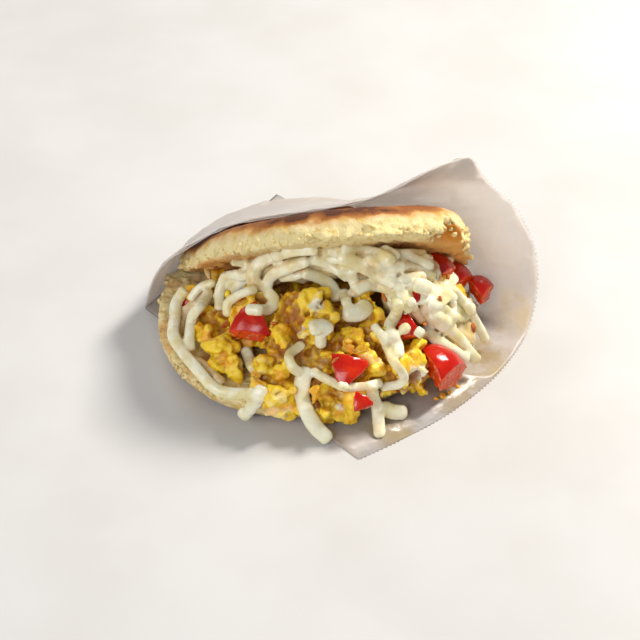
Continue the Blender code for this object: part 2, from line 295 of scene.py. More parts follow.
def speck_group() -> bpy.types.NodeTree:
    """Small round specks strewn over a surface.

    Returns:
        The group, with inputs Scale and Reach, the specks' share of the space between them.
    """
    group, given, result = new_group("Specks", {"Scale": 300.0, "Reach": 0.2})
    cells = group.nodes.new("ShaderNodeTexVoronoi")
    cut = group.nodes.new("ShaderNodeMapRange")
    cut.interpolation_type = "SMOOTHSTEP"
    cut.inputs["From Min"].default_value = 0.0
    cut.inputs["To Min"].default_value = 1.0
    cut.inputs["To Max"].default_value = 0.0
    group.links.new(given["Place"], cells.inputs["Vector"])
    group.links.new(given["Scale"], cells.inputs["Scale"])
    group.links.new(cells.outputs["Distance"], cut.inputs["Value"])
    group.links.new(given["Reach"], cut.inputs["From Max"])
    group.links.new(cut.outputs[0], result)
    return group


def grain_group() -> bpy.types.NodeTree:
    """Height of a surface with coarse swells and fine grain.

    Returns:
        The group, with inputs Coarse and Fine, both scales, and Share, the weight of the fine one.
    """
    group, given, result = new_group("Grain", {"Coarse": 150.0, "Fine": 900.0, "Share": 0.4})
    blend = group.nodes.new("ShaderNodeMix")
    group.links.new(given["Share"], blend.inputs[0])
    for label, socket in (("Coarse", blend.inputs[2]), ("Fine", blend.inputs[3])):
        layer = group.nodes.new("ShaderNodeTexNoise")
        layer.inputs["Detail"].default_value = 5.0
        group.links.new(given["Place"], layer.inputs["Vector"])
        group.links.new(given[label], layer.inputs["Scale"])
        group.links.new(layer.outputs[0], socket)
    group.links.new(blend.outputs[0], result)
    return group


MOTTLE = mottle_group()
SPECKS = speck_group()
GRAIN = grain_group()


# Finishes


@dataclass(frozen=True)
class CornBreadFinish:
    """Griddled corn dough: browned faces, pale rim and a grainy, porous cut."""

    crumb: Colour = shade(236, 218, 160)
    crumb_deep: Colour = shade(214, 180, 100)
    rim: Colour = shade(236, 218, 170)
    golden: Colour = shade(196, 138, 68)
    brown: Colour = shade(142, 84, 36)
    char: Colour = shade(84, 44, 20)
    speck: Colour = shade(120, 76, 36)
    juice: Colour = shade(206, 132, 44)

    def material(self) -> bpy.types.Material:
        """Builds the material, which reads the toast, cut and juice masks of the mesh.

        Returns:
            The material.
        """
        s = Shader("corn_bread")
        toast = s.mask("toast")
        cut = s.mask("cut")
        patches = s.mottle(70, 5, 0.32, 0.72)
        browning = s.maths("MULTIPLY", toast, s.between(patches, 0.55, 1.5))
        pale = s.mix(s.mottle(190, 6, 0.38, 0.66), self.rim, self.crumb_deep)
        open_crumb = s.mix(s.mottle(420, 5, 0.5, 0.72), self.crumb, self.crumb_deep)
        body = s.mix(cut, pale, open_crumb)
        body = s.mix(s.scaled(browning, 2.2), body, self.golden)
        body = s.mix(s.between(browning, -1.0, 2.2), body, self.brown)
        body = s.mix(s.between(browning, -3.0, 1.1), body, self.char)
        dots = s.effect(SPECKS, Scale=230.0, Reach=0.16)
        few = s.mottle(60, 2, 0.5, 0.62)
        body = s.mix(s.scaled(s.maths("MULTIPLY", dots, few), 0.75), body, self.speck)
        body = s.mix(s.mask("juice"), body, self.juice)
        s.feed("Base Color", body)
        s.feed("Roughness", s.between(toast, 0.86, 0.62))
        s.set(Subsurface_Weight=0.08, Subsurface_Radius=(0.003, 0.002, 0.001), Specular_IOR_Level=0.3)
        s.grain(330, 1300, 0.5, 0.0008)
        return s.material


@dataclass(frozen=True)
class CheeseFinish:
    """Half-melted white cheese: ivory, wet and a little translucent, with stains and painted shade in its
    recesses.
    """

    body: Colour = shade(244, 240, 212)
    deep: Colour = shade(230, 217, 160)
    # Colour of the stains, and of the painted shade in the recesses.
    stain_and_shade: Colour = shade(206, 156, 70)

    def material(self) -> bpy.types.Material:
        """Builds the material, which reads the mask of painted shade in the recesses of the mesh.

        Returns:
            The material.
        """
        s = Shader("melting_cheese")
        body = s.mix(s.mottle(110, 3, 0.38, 0.68), self.body, self.deep)
        stained = s.mottle(75, 4, 0.56, 0.76)
        body = s.mix(s.scaled(stained, 0.4), body, self.stain_and_shade)
        # Painted shade: the recesses between the shreds are painted in the stain colour.
        s.feed("Base Color", s.mix(s.scaled(s.mask("occlusion_shade"), 0.9), body, self.stain_and_shade))
        s.feed("Roughness", s.between(s.mottle(260, 2, 0.3, 0.7), 0.16, 0.36))
        s.set(Subsurface_Weight=0.35, Subsurface_Radius=(0.004, 0.003, 0.0018), Subsurface_Scale=0.6,
              Coat_Weight=0.25, Coat_Roughness=0.15)
        s.grain(240, 900, 0.25, 0.0003)
        return s.material


@dataclass(frozen=True)
class EggFinish:
    """Scrambled egg: bright yolk curds with flecks of white, painted shade in the dips and gaps, and painted
    highlights in pale patches.
    """

    yolk: Colour = shade(255, 214, 44)
    # Deeper yolk tone in random patches, and also the painted shade in the dips between the lumps.
    deep: Colour = shade(240, 168, 14)
    # Pale yellow of painted highlights, set in random patches.
    pale: Colour = shade(255, 230, 120)
    white: Colour = shade(244, 236, 206)
    # Dark orange-brown of the painted shade, with juice, in the recesses and gaps between the curds.
    shut: Colour = shade(156, 82, 10)

    def material(self) -> bpy.types.Material:
        """Builds the material, which reads the masks of the mesh: the white of egg, and the painted shade in
        the dips, in the recesses and, with juice, in the gaps.

        Returns:
            The material.
        """
        s = Shader("scrambled_egg")
        body = s.mix(s.mottle(90, 3, 0.5, 0.74), self.yolk, self.deep)
        # Painted highlights: pale patches set at random.
        body = s.mix(s.scaled(s.mottle(150, 4, 0.54, 0.7), 0.7), body, self.pale)
        # Painted shade: the dips between the lumps are painted in the deeper tone.
        body = s.mix(s.mask("dip_shade"), body, self.deep)
        streaks = s.mottle(120, 4, 0.6, 0.68)
        body = s.mix(s.scaled(streaks, 0.35), body, self.white)
        body = s.mix(s.mask("white"), body, self.white)
        # Painted shade, with orange juice, in the recesses and gaps between the curds.
        gaps = s.maths("MAXIMUM", s.mask("occlusion_shade"), s.mask("gap_juice_and_shade"))
        body = s.mix(s.scaled(gaps, 0.95), body, self.shut)
        s.feed("Base Color", body)
        s.feed("Roughness", s.between(s.mottle(300, 2, 0.3, 0.7), 0.28, 0.55))
        s.set(Subsurface_Weight=0.25, Subsurface_Radius=(0.004, 0.002, 0.0006), Subsurface_Scale=0.6,
              Coat_Weight=0.2, Coat_Roughness=0.2)
        s.grain(350, 1200, 0.35, 0.0008)
        return s.material


@dataclass(frozen=True)
class TomatoFinish:
    """Cut tomato: glossy deep skin, wet orange-red flesh with pale fibres."""

    skin: Colour = shade(186, 20, 5)
    skin_light: Colour = shade(214, 48, 10)
    flesh: Colour = shade(222, 66, 18)
    fibre: Colour = shade(240, 150, 92)

    def material(self) -> bpy.types.Material:
        """Builds the material, which reads the skin mask of the mesh.

        Returns:
            The material.
        """
        s = Shader("cut_tomato")
        skin = s.mix(s.mottle(140, 3, 0.4, 0.75), self.skin, self.skin_light)
        flesh = s.mix(s.mottle(330, 4, 0.52, 0.74), self.flesh, self.fibre)
        s.feed("Base Color", s.mix(s.mask("skin"), flesh, skin))
        s.feed("Roughness", s.between(s.mask("skin"), 0.26, 0.12))
        s.set(Subsurface_Weight=0.1, Subsurface_Radius=(0.003, 0.0008, 0.0004), Subsurface_Scale=0.5,
              Coat_Weight=0.15, Coat_Roughness=0.12)
        s.grain(280, 1100, 0.4, 0.00025)
        return s.material


@dataclass(frozen=True)
class GreaseproofFinish:
    """Thin greaseproof paper, half see-through, clearer and darker where fat has soaked in."""

    paper: Colour = shade(250, 242, 236)
    warm: Colour = shade(246, 232, 220)
    soaked: Colour = shade(232, 206, 158)

    def material(self) -> bpy.types.Material:
        """Builds the material, which reads the fat and double masks of the mesh.

        Returns:
            The material.
        """
        s = Shader("greaseproof_paper")
        fat = s.maths("MULTIPLY", s.mask("fat"), s.between(s.mottle(85, 5, 0.4, 0.56), 0.35, 1.0))
        body = s.mix(s.mottle(30, 3, 0.35, 0.7), self.paper, self.warm)
        s.feed("Base Color", s.mix(fat, body, self.soaked))
        s.feed("Roughness", s.between(fat, 0.4, 0.14))
        veil = s.maths("ADD", s.between(fat, 0.55, 0.42), s.scaled(s.mask("double"), 0.22))
        s.feed("Alpha", veil)
        s.set(Coat_Weight=0.15, Coat_Roughness=0.25, Subsurface_Weight=0.6, Subsurface_Scale=1.0,
              Subsurface_Radius=(0.004, 0.0036, 0.0032))
        s.grain(110, 420, 0.35, 0.0007)
        return s.material


@dataclass(frozen=True)
class MorselFinish:
    """Fried scraps between the curds: orange pepper, browned onion, toasted dough."""

    name: str
    body: Colour
    deep: Colour
    roughness: float = 0.35

    def material(self) -> bpy.types.Material:
        """Builds the material.

        Returns:
            The material.
        """
        s = Shader(self.name)
        s.feed("Base Color", s.mix(s.mottle(260, 4, 0.4, 0.66), self.body, self.deep))
        s.set(Roughness=self.roughness, Subsurface_Weight=0.15, Subsurface_Radius=(0.003, 0.001, 0.0005),
              Coat_Weight=0.2, Coat_Roughness=0.2)
        s.grain(420, 1400, 0.4, 0.0003)
        return s.material


@dataclass(frozen=True)
class TableFinish:
    """A plain pale ground."""

    body: Colour = shade(204, 203, 202)
    cloud: Colour = shade(198, 196, 194)

    def material(self) -> bpy.types.Material:
        """Builds the material.

        Returns:
            The material.
        """
        s = Shader("pale_ground")
        s.feed("Base Color", s.mix(s.mottle(14, 3, 0.3, 0.7), self.body, self.cloud))
        s.set(Roughness=0.55)
        return s.material


# Mesh handling


def smoothstep(low: float, high: float, value: float) -> float:
    """0 below low, 1 above high, smooth between."""
    share = min(max((value - low) / (high - low), 0.0), 1.0)
    return share * share * (3 - 2 * share)


def activate(obj: bpy.types.Object) -> None:
    """Deselects everything, then selects this object and makes it active.

    Args:
        obj: The object.
    """
    bpy.ops.object.select_all(action="DESELECT")
    obj.select_set(True)
    bpy.context.view_layer.objects.active = obj


def merged_copy(node: str, name: str) -> bpy.types.Object:
    """A copy of a CAD node's mesh with its loose triangles joined.

    Args:
        node: The CAD node.
        name: Name of the copy.

    Returns:
        The new object.
    """
    obj = bpy.data.objects.new(name, frame["nodes"][node].data.copy())
    bpy.context.scene.collection.objects.link(obj)
    obj.data.materials.clear()
    activate(obj)
    bpy.ops.object.mode_set(mode="EDIT")
    bpy.ops.mesh.select_all(action="SELECT")
    bpy.ops.mesh.remove_doubles(threshold=0.00001)
    bpy.ops.object.mode_set(mode="OBJECT")
    return obj


def apply_modifier(obj: bpy.types.Object, kind: str, **settings: object) -> None:
    """Adds a modifier, sets it and applies it.

    Args:
        obj: The object.
        kind: Blender's type of the modifier.
        settings: Its settings.
    """
    activate(obj)
    modifier = obj.modifiers.new(kind.lower(), kind)
    for name, value in settings.items():
        setattr(modifier, name, value)
    bpy.ops.object.modifier_apply(modifier=modifier.name)


def remesh(obj: bpy.types.Object, voxel: float, soften: int = 2) -> None:
    """Rebuilds an object's mesh as one even skin, which joins what overlaps.

    Args:
        obj: The object.
        voxel: Size of its new faces.
        soften: Number of smoothing steps after it.
    """
    apply_modifier(obj, "REMESH", mode="VOXEL", voxel_size=voxel)
    if soften:
        apply_modifier(obj, "SMOOTH", factor=0.5, iterations=soften)


def join(objects: Sequence[bpy.types.Object], name: str) -> bpy.types.Object:
    """Joins objects into the first and names it.

    Args:
        objects: The objects.
        name: Name of the result.

    Returns:
        The joined object.
    """
    activate(objects[0])
    for obj in objects[1:]:
        obj.select_set(True)
    if len(objects) > 1:
        bpy.ops.object.join()
    objects[0].name = name
    objects[0].data.name = name
    return objects[0]


def push(obj: bpy.types.Object, height: Callable[[Vector, Vector], float]) -> None:
    """Moves each vertex along its normal.

    Args:
        obj: The object.
        height: The distance, from the vertex's place and normal.
    """
    moves = [v.normal * height(v.co, v.normal) for v in obj.data.vertices]
    for vertex, move in zip(obj.data.vertices, moves):
        vertex.co += move
    obj.data.update()


def carry(obj: bpy.types.Object, name: str, value: Callable[[Vector, Vector], float]) -> None:
    """Stores a mask on the mesh for its material.

    Args:
        obj: The object.
        name: Name of the mask.
        value: Its value from 0 to 1, from the vertex's place and normal.
    """
    values = np.array([value(v.co, v.normal) for v in obj.data.vertices], np.float32)
    obj.data.attributes.new(name, "FLOAT", "POINT").data.foreach_set("value", values)


def tree_of(obj: bpy.types.Object, turn: Matrix | None = None) -> BVHTree:
    """A search tree of an object's own mesh.

    Args:
        obj: The object.
        turn: How its points are turned first.

    Returns:
        The tree.
    """
    places = [turn @ v.co if turn else v.co for v in obj.data.vertices]
    return BVHTree.FromPolygons(places, [tuple(p.vertices) for p in obj.data.polygons])


def carry_occlusion_shade(obj: bpy.types.Object, reach: float) -> None:
    """Stores, as the mask of painted shade, how far each place is shut in by what is round it.

    Args:
        obj: The object.
        reach: How far off a wall still counts.
    """
    tree = tree_of(obj)
    lift, spread = 0.4, 1.1

    def shut(place: Vector, normal: Vector) -> float:
        """How far a place is shut in.

        Args:
            place: A place on the mesh.
            normal: Its normal.

        Returns:
            Share of four slanting rays that meet a wall.
        """
        side = normal.orthogonal().normalized()
        other = normal.cross(side)
        start = place + normal * lift * MM
        slants = [(normal + way * spread).normalized() for way in (side, -side, other, -other)]
        return sum(tree.ray_cast(start, slant, reach)[0] is not None for slant in slants) / len(slants)

    carry(obj, "occlusion_shade", shut)


def noise_at(place: Vector, size: float, offset: float = 0.0) -> float:
    """Smooth noise from -1 to 1 with features of this size."""
    return noise.noise(place / size + Vector((offset, offset, offset)))


def rough(place: Vector, *layers: tuple[float, ...]) -> float:
    """A sum of noises.

    Args:
        place: The place.
        layers: Height, size in millimetres and offset of each noise.

    Returns:
        The sum, in the unit of the heights.
    """
    return sum(height * noise_at(place, size * MM, *offset) for height, size, *offset in layers)


def dress(
    obj: bpy.types.Object, material: bpy.types.Material, nodes: Sequence[str] = ()
) -> None:
    """Gives a finished piece its material, shading and body.

    Args:
        obj: The piece.
        material: Its material.
        nodes: The CAD nodes it stands for.
    """
    obj.data.materials.clear()
    obj.data.materials.append(material)
    activate(obj)
    bpy.ops.object.shade_smooth()
    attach(obj, ROOT)
    if nodes:
        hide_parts(*nodes)
    obj.data.calc_loop_triangles()
    log.info("%s: %d triangles", obj.name, len(obj.data.loop_triangles))


def spline(points: Sequence[Point], spacing: float) -> list[Vector]:
    """Even points on a smooth curve through the given ones.

    Args:
        points: Points in millimetres.
        spacing: Distance between the results in metres.

    Returns:
        The points in metres.
    """
    parts = 12
    given = [Vector(p) * MM for p in points]
    ends = [2 * given[0] - given[1], *given, 2 * given[-1] - given[-2]]
    fine: list[Vector] = []
    for a, b, c, d in zip(ends, ends[1:], ends[2:], ends[3:]):
        for step in range(parts):
            t = step / parts
            fine.append(0.5 * (2 * b + (c - a) * t + (2 * a - 5 * b + 4 * c - d) * t**2
                               + (3 * b - a - 3 * c + d) * t**3))
    fine.append(given[-1])
    lengths = np.cumsum([0.0] + [(q - p).length for p, q in zip(fine, fine[1:])])
    count = max(int(lengths[-1] / spacing), 4)
    places = np.linspace(0, lengths[-1], count + 1)
    table = np.array(fine)
    return [Vector([float(np.interp(s, lengths, table[:, axis])) for axis in range(3)]) for s in places]


# Bread


@dataclass
class CornCake:
    """The split and opened corn cake."""

    voxel: float = 0.85 * MM
    soften: int = 14
    hinge_y: float = 46 * MM
    cut_level: float = 13 * MM
    lid_out: Vector = field(default_factory=lambda: Vector((-0.08, 0.66, 0.75)).normalized())
    mouth_slope: float = math.tan(math.radians(22))
    pocket: Point = (62, -26, 66)
    pocket_reach: float = 14 * MM
    pocket_depth: float = 6.5 * MM
    finish: CornBreadFinish = field(default_factory=CornBreadFinish)

    def on_lid(self, place: Vector) -> bool:
        """Whether a place is over the middle of the open mouth."""
        middle = self.cut_level + (self.hinge_y - place.y) * self.mouth_slope
        return place.y < self.hinge_y and place.z > middle

    def outward(self, place: Vector, normal: Vector) -> float:
        """How far a surface faces out of the cake.

        Args:
            place: A place on the cake.
            normal: Its normal.

        Returns:
            1 on a browned face, -1 on the cut.
        """
        if place.y >= self.hinge_y:
            return abs(normal.z)
        return normal.dot(self.lid_out) if self.on_lid(place) else -normal.z

    def build(self) -> bpy.types.Object:
        """Models the cake and dresses it.

        Returns:
            The finished piece.
        """
        cake = merged_copy("arepa_bread", "corn_cake")
        remesh(cake, self.voxel, self.soften)
        self._hollow_pocket(cake)
        carry(cake, "cut", self._cut)
        carry(cake, "toast", self._toast)
        carry(cake, "juice", self._juice)
        push(cake, self._crumb)
        dress(cake, self.finish.material(), ["arepa_bread"])
        return cake

    def _near_pocket(self, place: Vector) -> float:
        """1 in the middle of the torn pocket at the lid's right end, 0 outside it."""
        away = (place - Vector(self.pocket) * MM).length / self.pocket_reach
        return 1 - smoothstep(0.25, 1.0, away)

    def _hollow_pocket(self, cake: bpy.types.Object) -> None:
        """Sinks the torn pocket into the lid's right end.

        Args:
            cake: The cake.
        """
        shares = []
        for vertex in cake.data.vertices:
            out = self.outward(vertex.co, vertex.normal) if self.on_lid(vertex.co) else 1.0
            shares.append(self._near_pocket(vertex.co) * smoothstep(-0.5, 0.1, -out))
        for vertex, share in zip(cake.data.vertices, shares):
            vertex.co += self.lid_out * self.pocket_depth * share
        cake.data.update()
        remesh(cake, self.voxel, 2)

    def _cut(self, place: Vector, normal: Vector) -> float:
        """Where the open crumb shows.

        Args:
            place: A place on the cake.
            normal: Its normal.

        Returns:
            1 on the cut and the torn lip, 0 on the faces.
        """
        if place.y >= self.hinge_y:
            return 0.0
        out = self.outward(place, normal)
        if self.on_lid(place):
            return 1 - smoothstep(0.15, 0.5, out)
        return smoothstep(0.35, 0.75, -out)

    def _toast(self, place: Vector, normal: Vector) -> float:
        """How far the griddle has browned a place.

        Args:
            place: A place on the cake.
            normal: Its normal.

        Returns:
            0 where pale, 1 where darkest.
        """
        out = self.outward(place, normal)
        if not self.on_lid(place):
            return 0.75 * smoothstep(0.45, 0.95, out)
        fade = 1 - 0.7 * smoothstep(34 * MM, 64 * MM, place.x)
        edge = 0.1 * noise_at(place, 9 * MM, 31)
        light = smoothstep(0.3 + edge, 0.55 + edge, out)
        dark = smoothstep(0.5 + edge, 0.8 + edge, out)
        return fade * (0.4 * light + 0.6 * dark)

    def _juice(self, place: Vector, normal: Vector) -> float:
        """How far juice from the filling has stained the crumb.

        Args:
            place: A place on the cake.
            normal: Its normal.

        Returns:
            0 where clean, 1 where soaked.
        """
        out = self.outward(place, normal)
        inner = smoothstep(0.1, 0.6, -out)
        if not self.on_lid(place):
            return 0.5 * inner * smoothstep(0.0, 0.4, noise_at(place, 14 * MM, 41))
        deep = smoothstep(-32 * MM, -12 * MM, place.y)
        return min(1.0, 0.9 * self._near_pocket(place) * smoothstep(-0.2, 0.5, -out) + 0.8 * inner * deep)

    def _crumb(self, place: Vector, normal: Vector) -> float:
        """Relief of the crust and of the torn crumb.

        Args:
            place: A place on the cake.
            normal: Its normal.

        Returns:
            How far the place moves out, in metres.
        """
        out = self.outward(place, normal)
        crust = rough(place, (0.2, 5), (0.14, 2, 3))
        swell = rough(place, (0.5, 22, 9))
        if place.y >= self.hinge_y - 8 * MM:
            return (crust + swell) * MM
        torn = 1 - smoothstep(0.1, 0.45, out) if self.on_lid(place) else smoothstep(-0.35, 0.7, -out)
        edge = math.exp(-((out + 0.45) / 0.4) ** 2) * (1.0 if self.on_lid(place) else 0.3)
        ragged = rough(place, (4.6, 6.5, 5), (2.6, 3, 7))
        pores = rough(place, (0.9, 3.4, 11), (0.6, 1.8, 13))
        pits = -1.5 * smoothstep(0.3, 0.55, noise_at(place, 6 * MM, 17))
        return (crust + swell + edge * ragged + torn * (pores + pits)) * MM


@dataclass
class BreadCrumbs:
    """Crumbs that hang on the torn edges of the bread."""

    count: int = 150
    least: float = 0.7 * MM
    most: float = 1.9 * MM
    lift: float = 0.2

    def build(self, cake: bpy.types.Object, shape: CornCake) -> bpy.types.Object:
        """Models the crumbs on the edges of the cut.

        Args:
            cake: The finished bread.
            shape: The class that built it, which tells the lid from the base.

        Returns:
            The finished piece.
        """
        dice = random.Random(SEED)
        edge = [v for v in cake.data.vertices if -0.5 < shape.outward(v.co, v.normal) < -0.05
                and v.co.y < shape.hinge_y - 20 * MM]
        crumbs = []
        for vertex in dice.sample(edge, self.count):
            size = dice.uniform(self.least, self.most)
            radii = (size, size * dice.uniform(0.6, 0.9), size * 0.7)
            crumbs.append(lump(vertex.co + vertex.normal * size * self.lift, radii, dice, 2))
        made = join(crumbs, "bread_crumbs")
        carry(made, "cut", lambda place, normal: 1.0)
        carry(made, "toast", lambda place, normal: 0.05)
        dress(made, cake.data.materials[0])
        return made


def lump(middle: Vector, radii: Sequence[float], dice: random.Random, level: int) -> bpy.types.Object:
    """A small uneven lump with a random turn.

    Args:
        middle: Its middle.
        radii: Its three half sizes.
        dice: The random source.
        level: Fineness of the sphere it starts from.

    Returns:
        The new object, with its place in its mesh.
    """
    bpy.ops.object.select_all(action="DESELECT")
    bpy.ops.mesh.primitive_ico_sphere_add(subdivisions=level, radius=1)
    obj = bpy.context.object
    turn = Euler([dice.uniform(0, math.tau) for _ in range(3)]).to_matrix()
    offset = dice.uniform(0, 90)
    for vertex in obj.data.vertices:
        uneven = 1 + 0.35 * noise_at(vertex.co, 0.9, offset)
        vertex.co = turn @ Vector([c * r * uneven for c, r in zip(vertex.co, radii)]) + middle
    return obj


# Tomato


@dataclass
class TomatoPieces:
    """Wedges and chips of tomato: each node with the turn of its skin in degrees about X, Y and Z.

    Each is cut from a ball of radius 1 and then fitted to its node: half_angle is half the wedge between
    its two long cuts, ends and slant place the two short cuts, and depth is where the core is cut off.
    """

    wedges: tuple[tuple[str, Point], ...] = (
        ("tomato_left_wedge", (28, 14, -40)),
        ("tomato_pocket_slices", (20, 25, 30)),
        ("tomato_rim_wedge", (14, 20, 25)),
        ("tomato_outer_wedge", (10, 15, 35)),
        ("tomato_upper_strip", (34, 20, 15)),
        ("tomato_middle_strip", (38, 10, -25)),
        ("tomato_front_wedge", (6, 22, 28)),
        ("tomato_centre_chunk", (38, 0, 20)),
        ("tomato_left_chip", (30, 10, -30)),
        ("tomato_pocket_chunk", (20, -10, 40)),
        ("tomato_small_chip", (40, 20, 10)),
    )
    half_angle: float = math.radians(32)
    slant: float = 0.5
    ends: tuple[float, float] = (0.3, 0.34)
    depth: float = 0.5
    voxel: float = 0.45 * MM
    finish: TomatoFinish = field(default_factory=TomatoFinish)

    def build(self) -> list[bpy.types.Object]:
        """Models every piece of tomato.

        Returns:
            The finished pieces.
        """
        material = self.finish.material()
        return [self._wedge(node, turn, material) for node, turn in self.wedges]

    def _wedge(self, node: str, turn: Point, material: bpy.types.Material) -> bpy.types.Object:
        """Models one piece: taut skin on its round side, wet flesh on the cuts.

        Args:
            node: The CAD node it stands for.
            turn: The turn of its skin side in degrees.
            material: Its material.

        Returns:
            The finished piece.
        """
        matrix = Euler([math.radians(a) for a in turn]).to_matrix()
        outward = matrix @ Vector((0, 0, 1))
        wedge = self._cut_from_ball(node.replace("tomato_", "red_"))
        wedge.data.transform(matrix.to_4x4())
        self._fit(wedge, node)
        remesh(wedge, self.voxel, 2)

        def skin(_place: Vector, normal: Vector) -> float:
            """1 on the skin, 0 on the flesh."""
            return smoothstep(0.25, 0.5, normal.dot(outward))

        def relief(place: Vector, normal: Vector) -> float:
            """Relief of the uneven flesh and of the taut skin.

            Args:
                place: A place on the wedge.
                normal: Its normal.

            Returns:
                How far the place moves out, in metres.
            """
            wet = rough(place, (0.7, 3.5), (0.35, 1.6, 4))
            taut = rough(place, (0.25, 6, 8))
            amount = skin(place, normal)
            return (wet * (1 - amount) + taut * amount) * MM

        carry(wedge, "skin", skin)
        push(wedge, relief)
        dress(wedge, material, [node])
        return wedge

    def _cut_from_ball(self, name: str) -> bpy.types.Object:
        """Cuts a wedge out of a ball, with its skin upwards.

        Args:
            name: Name of the wedge.

        Returns:
            The new object, of radius 1.
        """
        bpy.ops.object.select_all(action="DESELECT")
        bpy.ops.mesh.primitive_ico_sphere_add(subdivisions=5, radius=1)
        wedge = bpy.context.object
        wedge.name = name
        across, up = math.cos(self.half_angle), math.sin(self.half_angle)
        cuts = (
            ((0, 0, 0), (across, 0, -up)), ((0, 0, 0), (-across, 0, -up)), ((0, 0, self.depth), (0, 0, -1)),
            ((0, self.ends[0], 0), (self.slant, 1, 0)), ((0, -self.ends[1], 0), (self.slant, -1, 0)),
        )
        bpy.ops.object.mode_set(mode="EDIT")
        for place, normal in cuts:
            bpy.ops.mesh.select_all(action="SELECT")
            bpy.ops.mesh.bisect(plane_co=place, plane_no=normal, use_fill=True, clear_outer=True)
        bpy.ops.object.mode_set(mode="OBJECT")
        return wedge

    @staticmethod
    def _fit(wedge: bpy.types.Object, node: str) -> None:
        """Stretches a wedge to the box of its node.

        Args:
            wedge: The wedge.
            node: The CAD node.
        """
        low, high = (Vector(corner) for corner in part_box(node))
        places = np.array([v.co for v in wedge.data.vertices])
        least, most = Vector(places.min(0)), Vector(places.max(0))
        for vertex in wedge.data.vertices:
            share = [(c - a) / (b - a) for c, a, b in zip(vertex.co, least, most)]
            vertex.co = [a + (b - a) * t for a, b, t in zip(low, high, share)]


# Egg


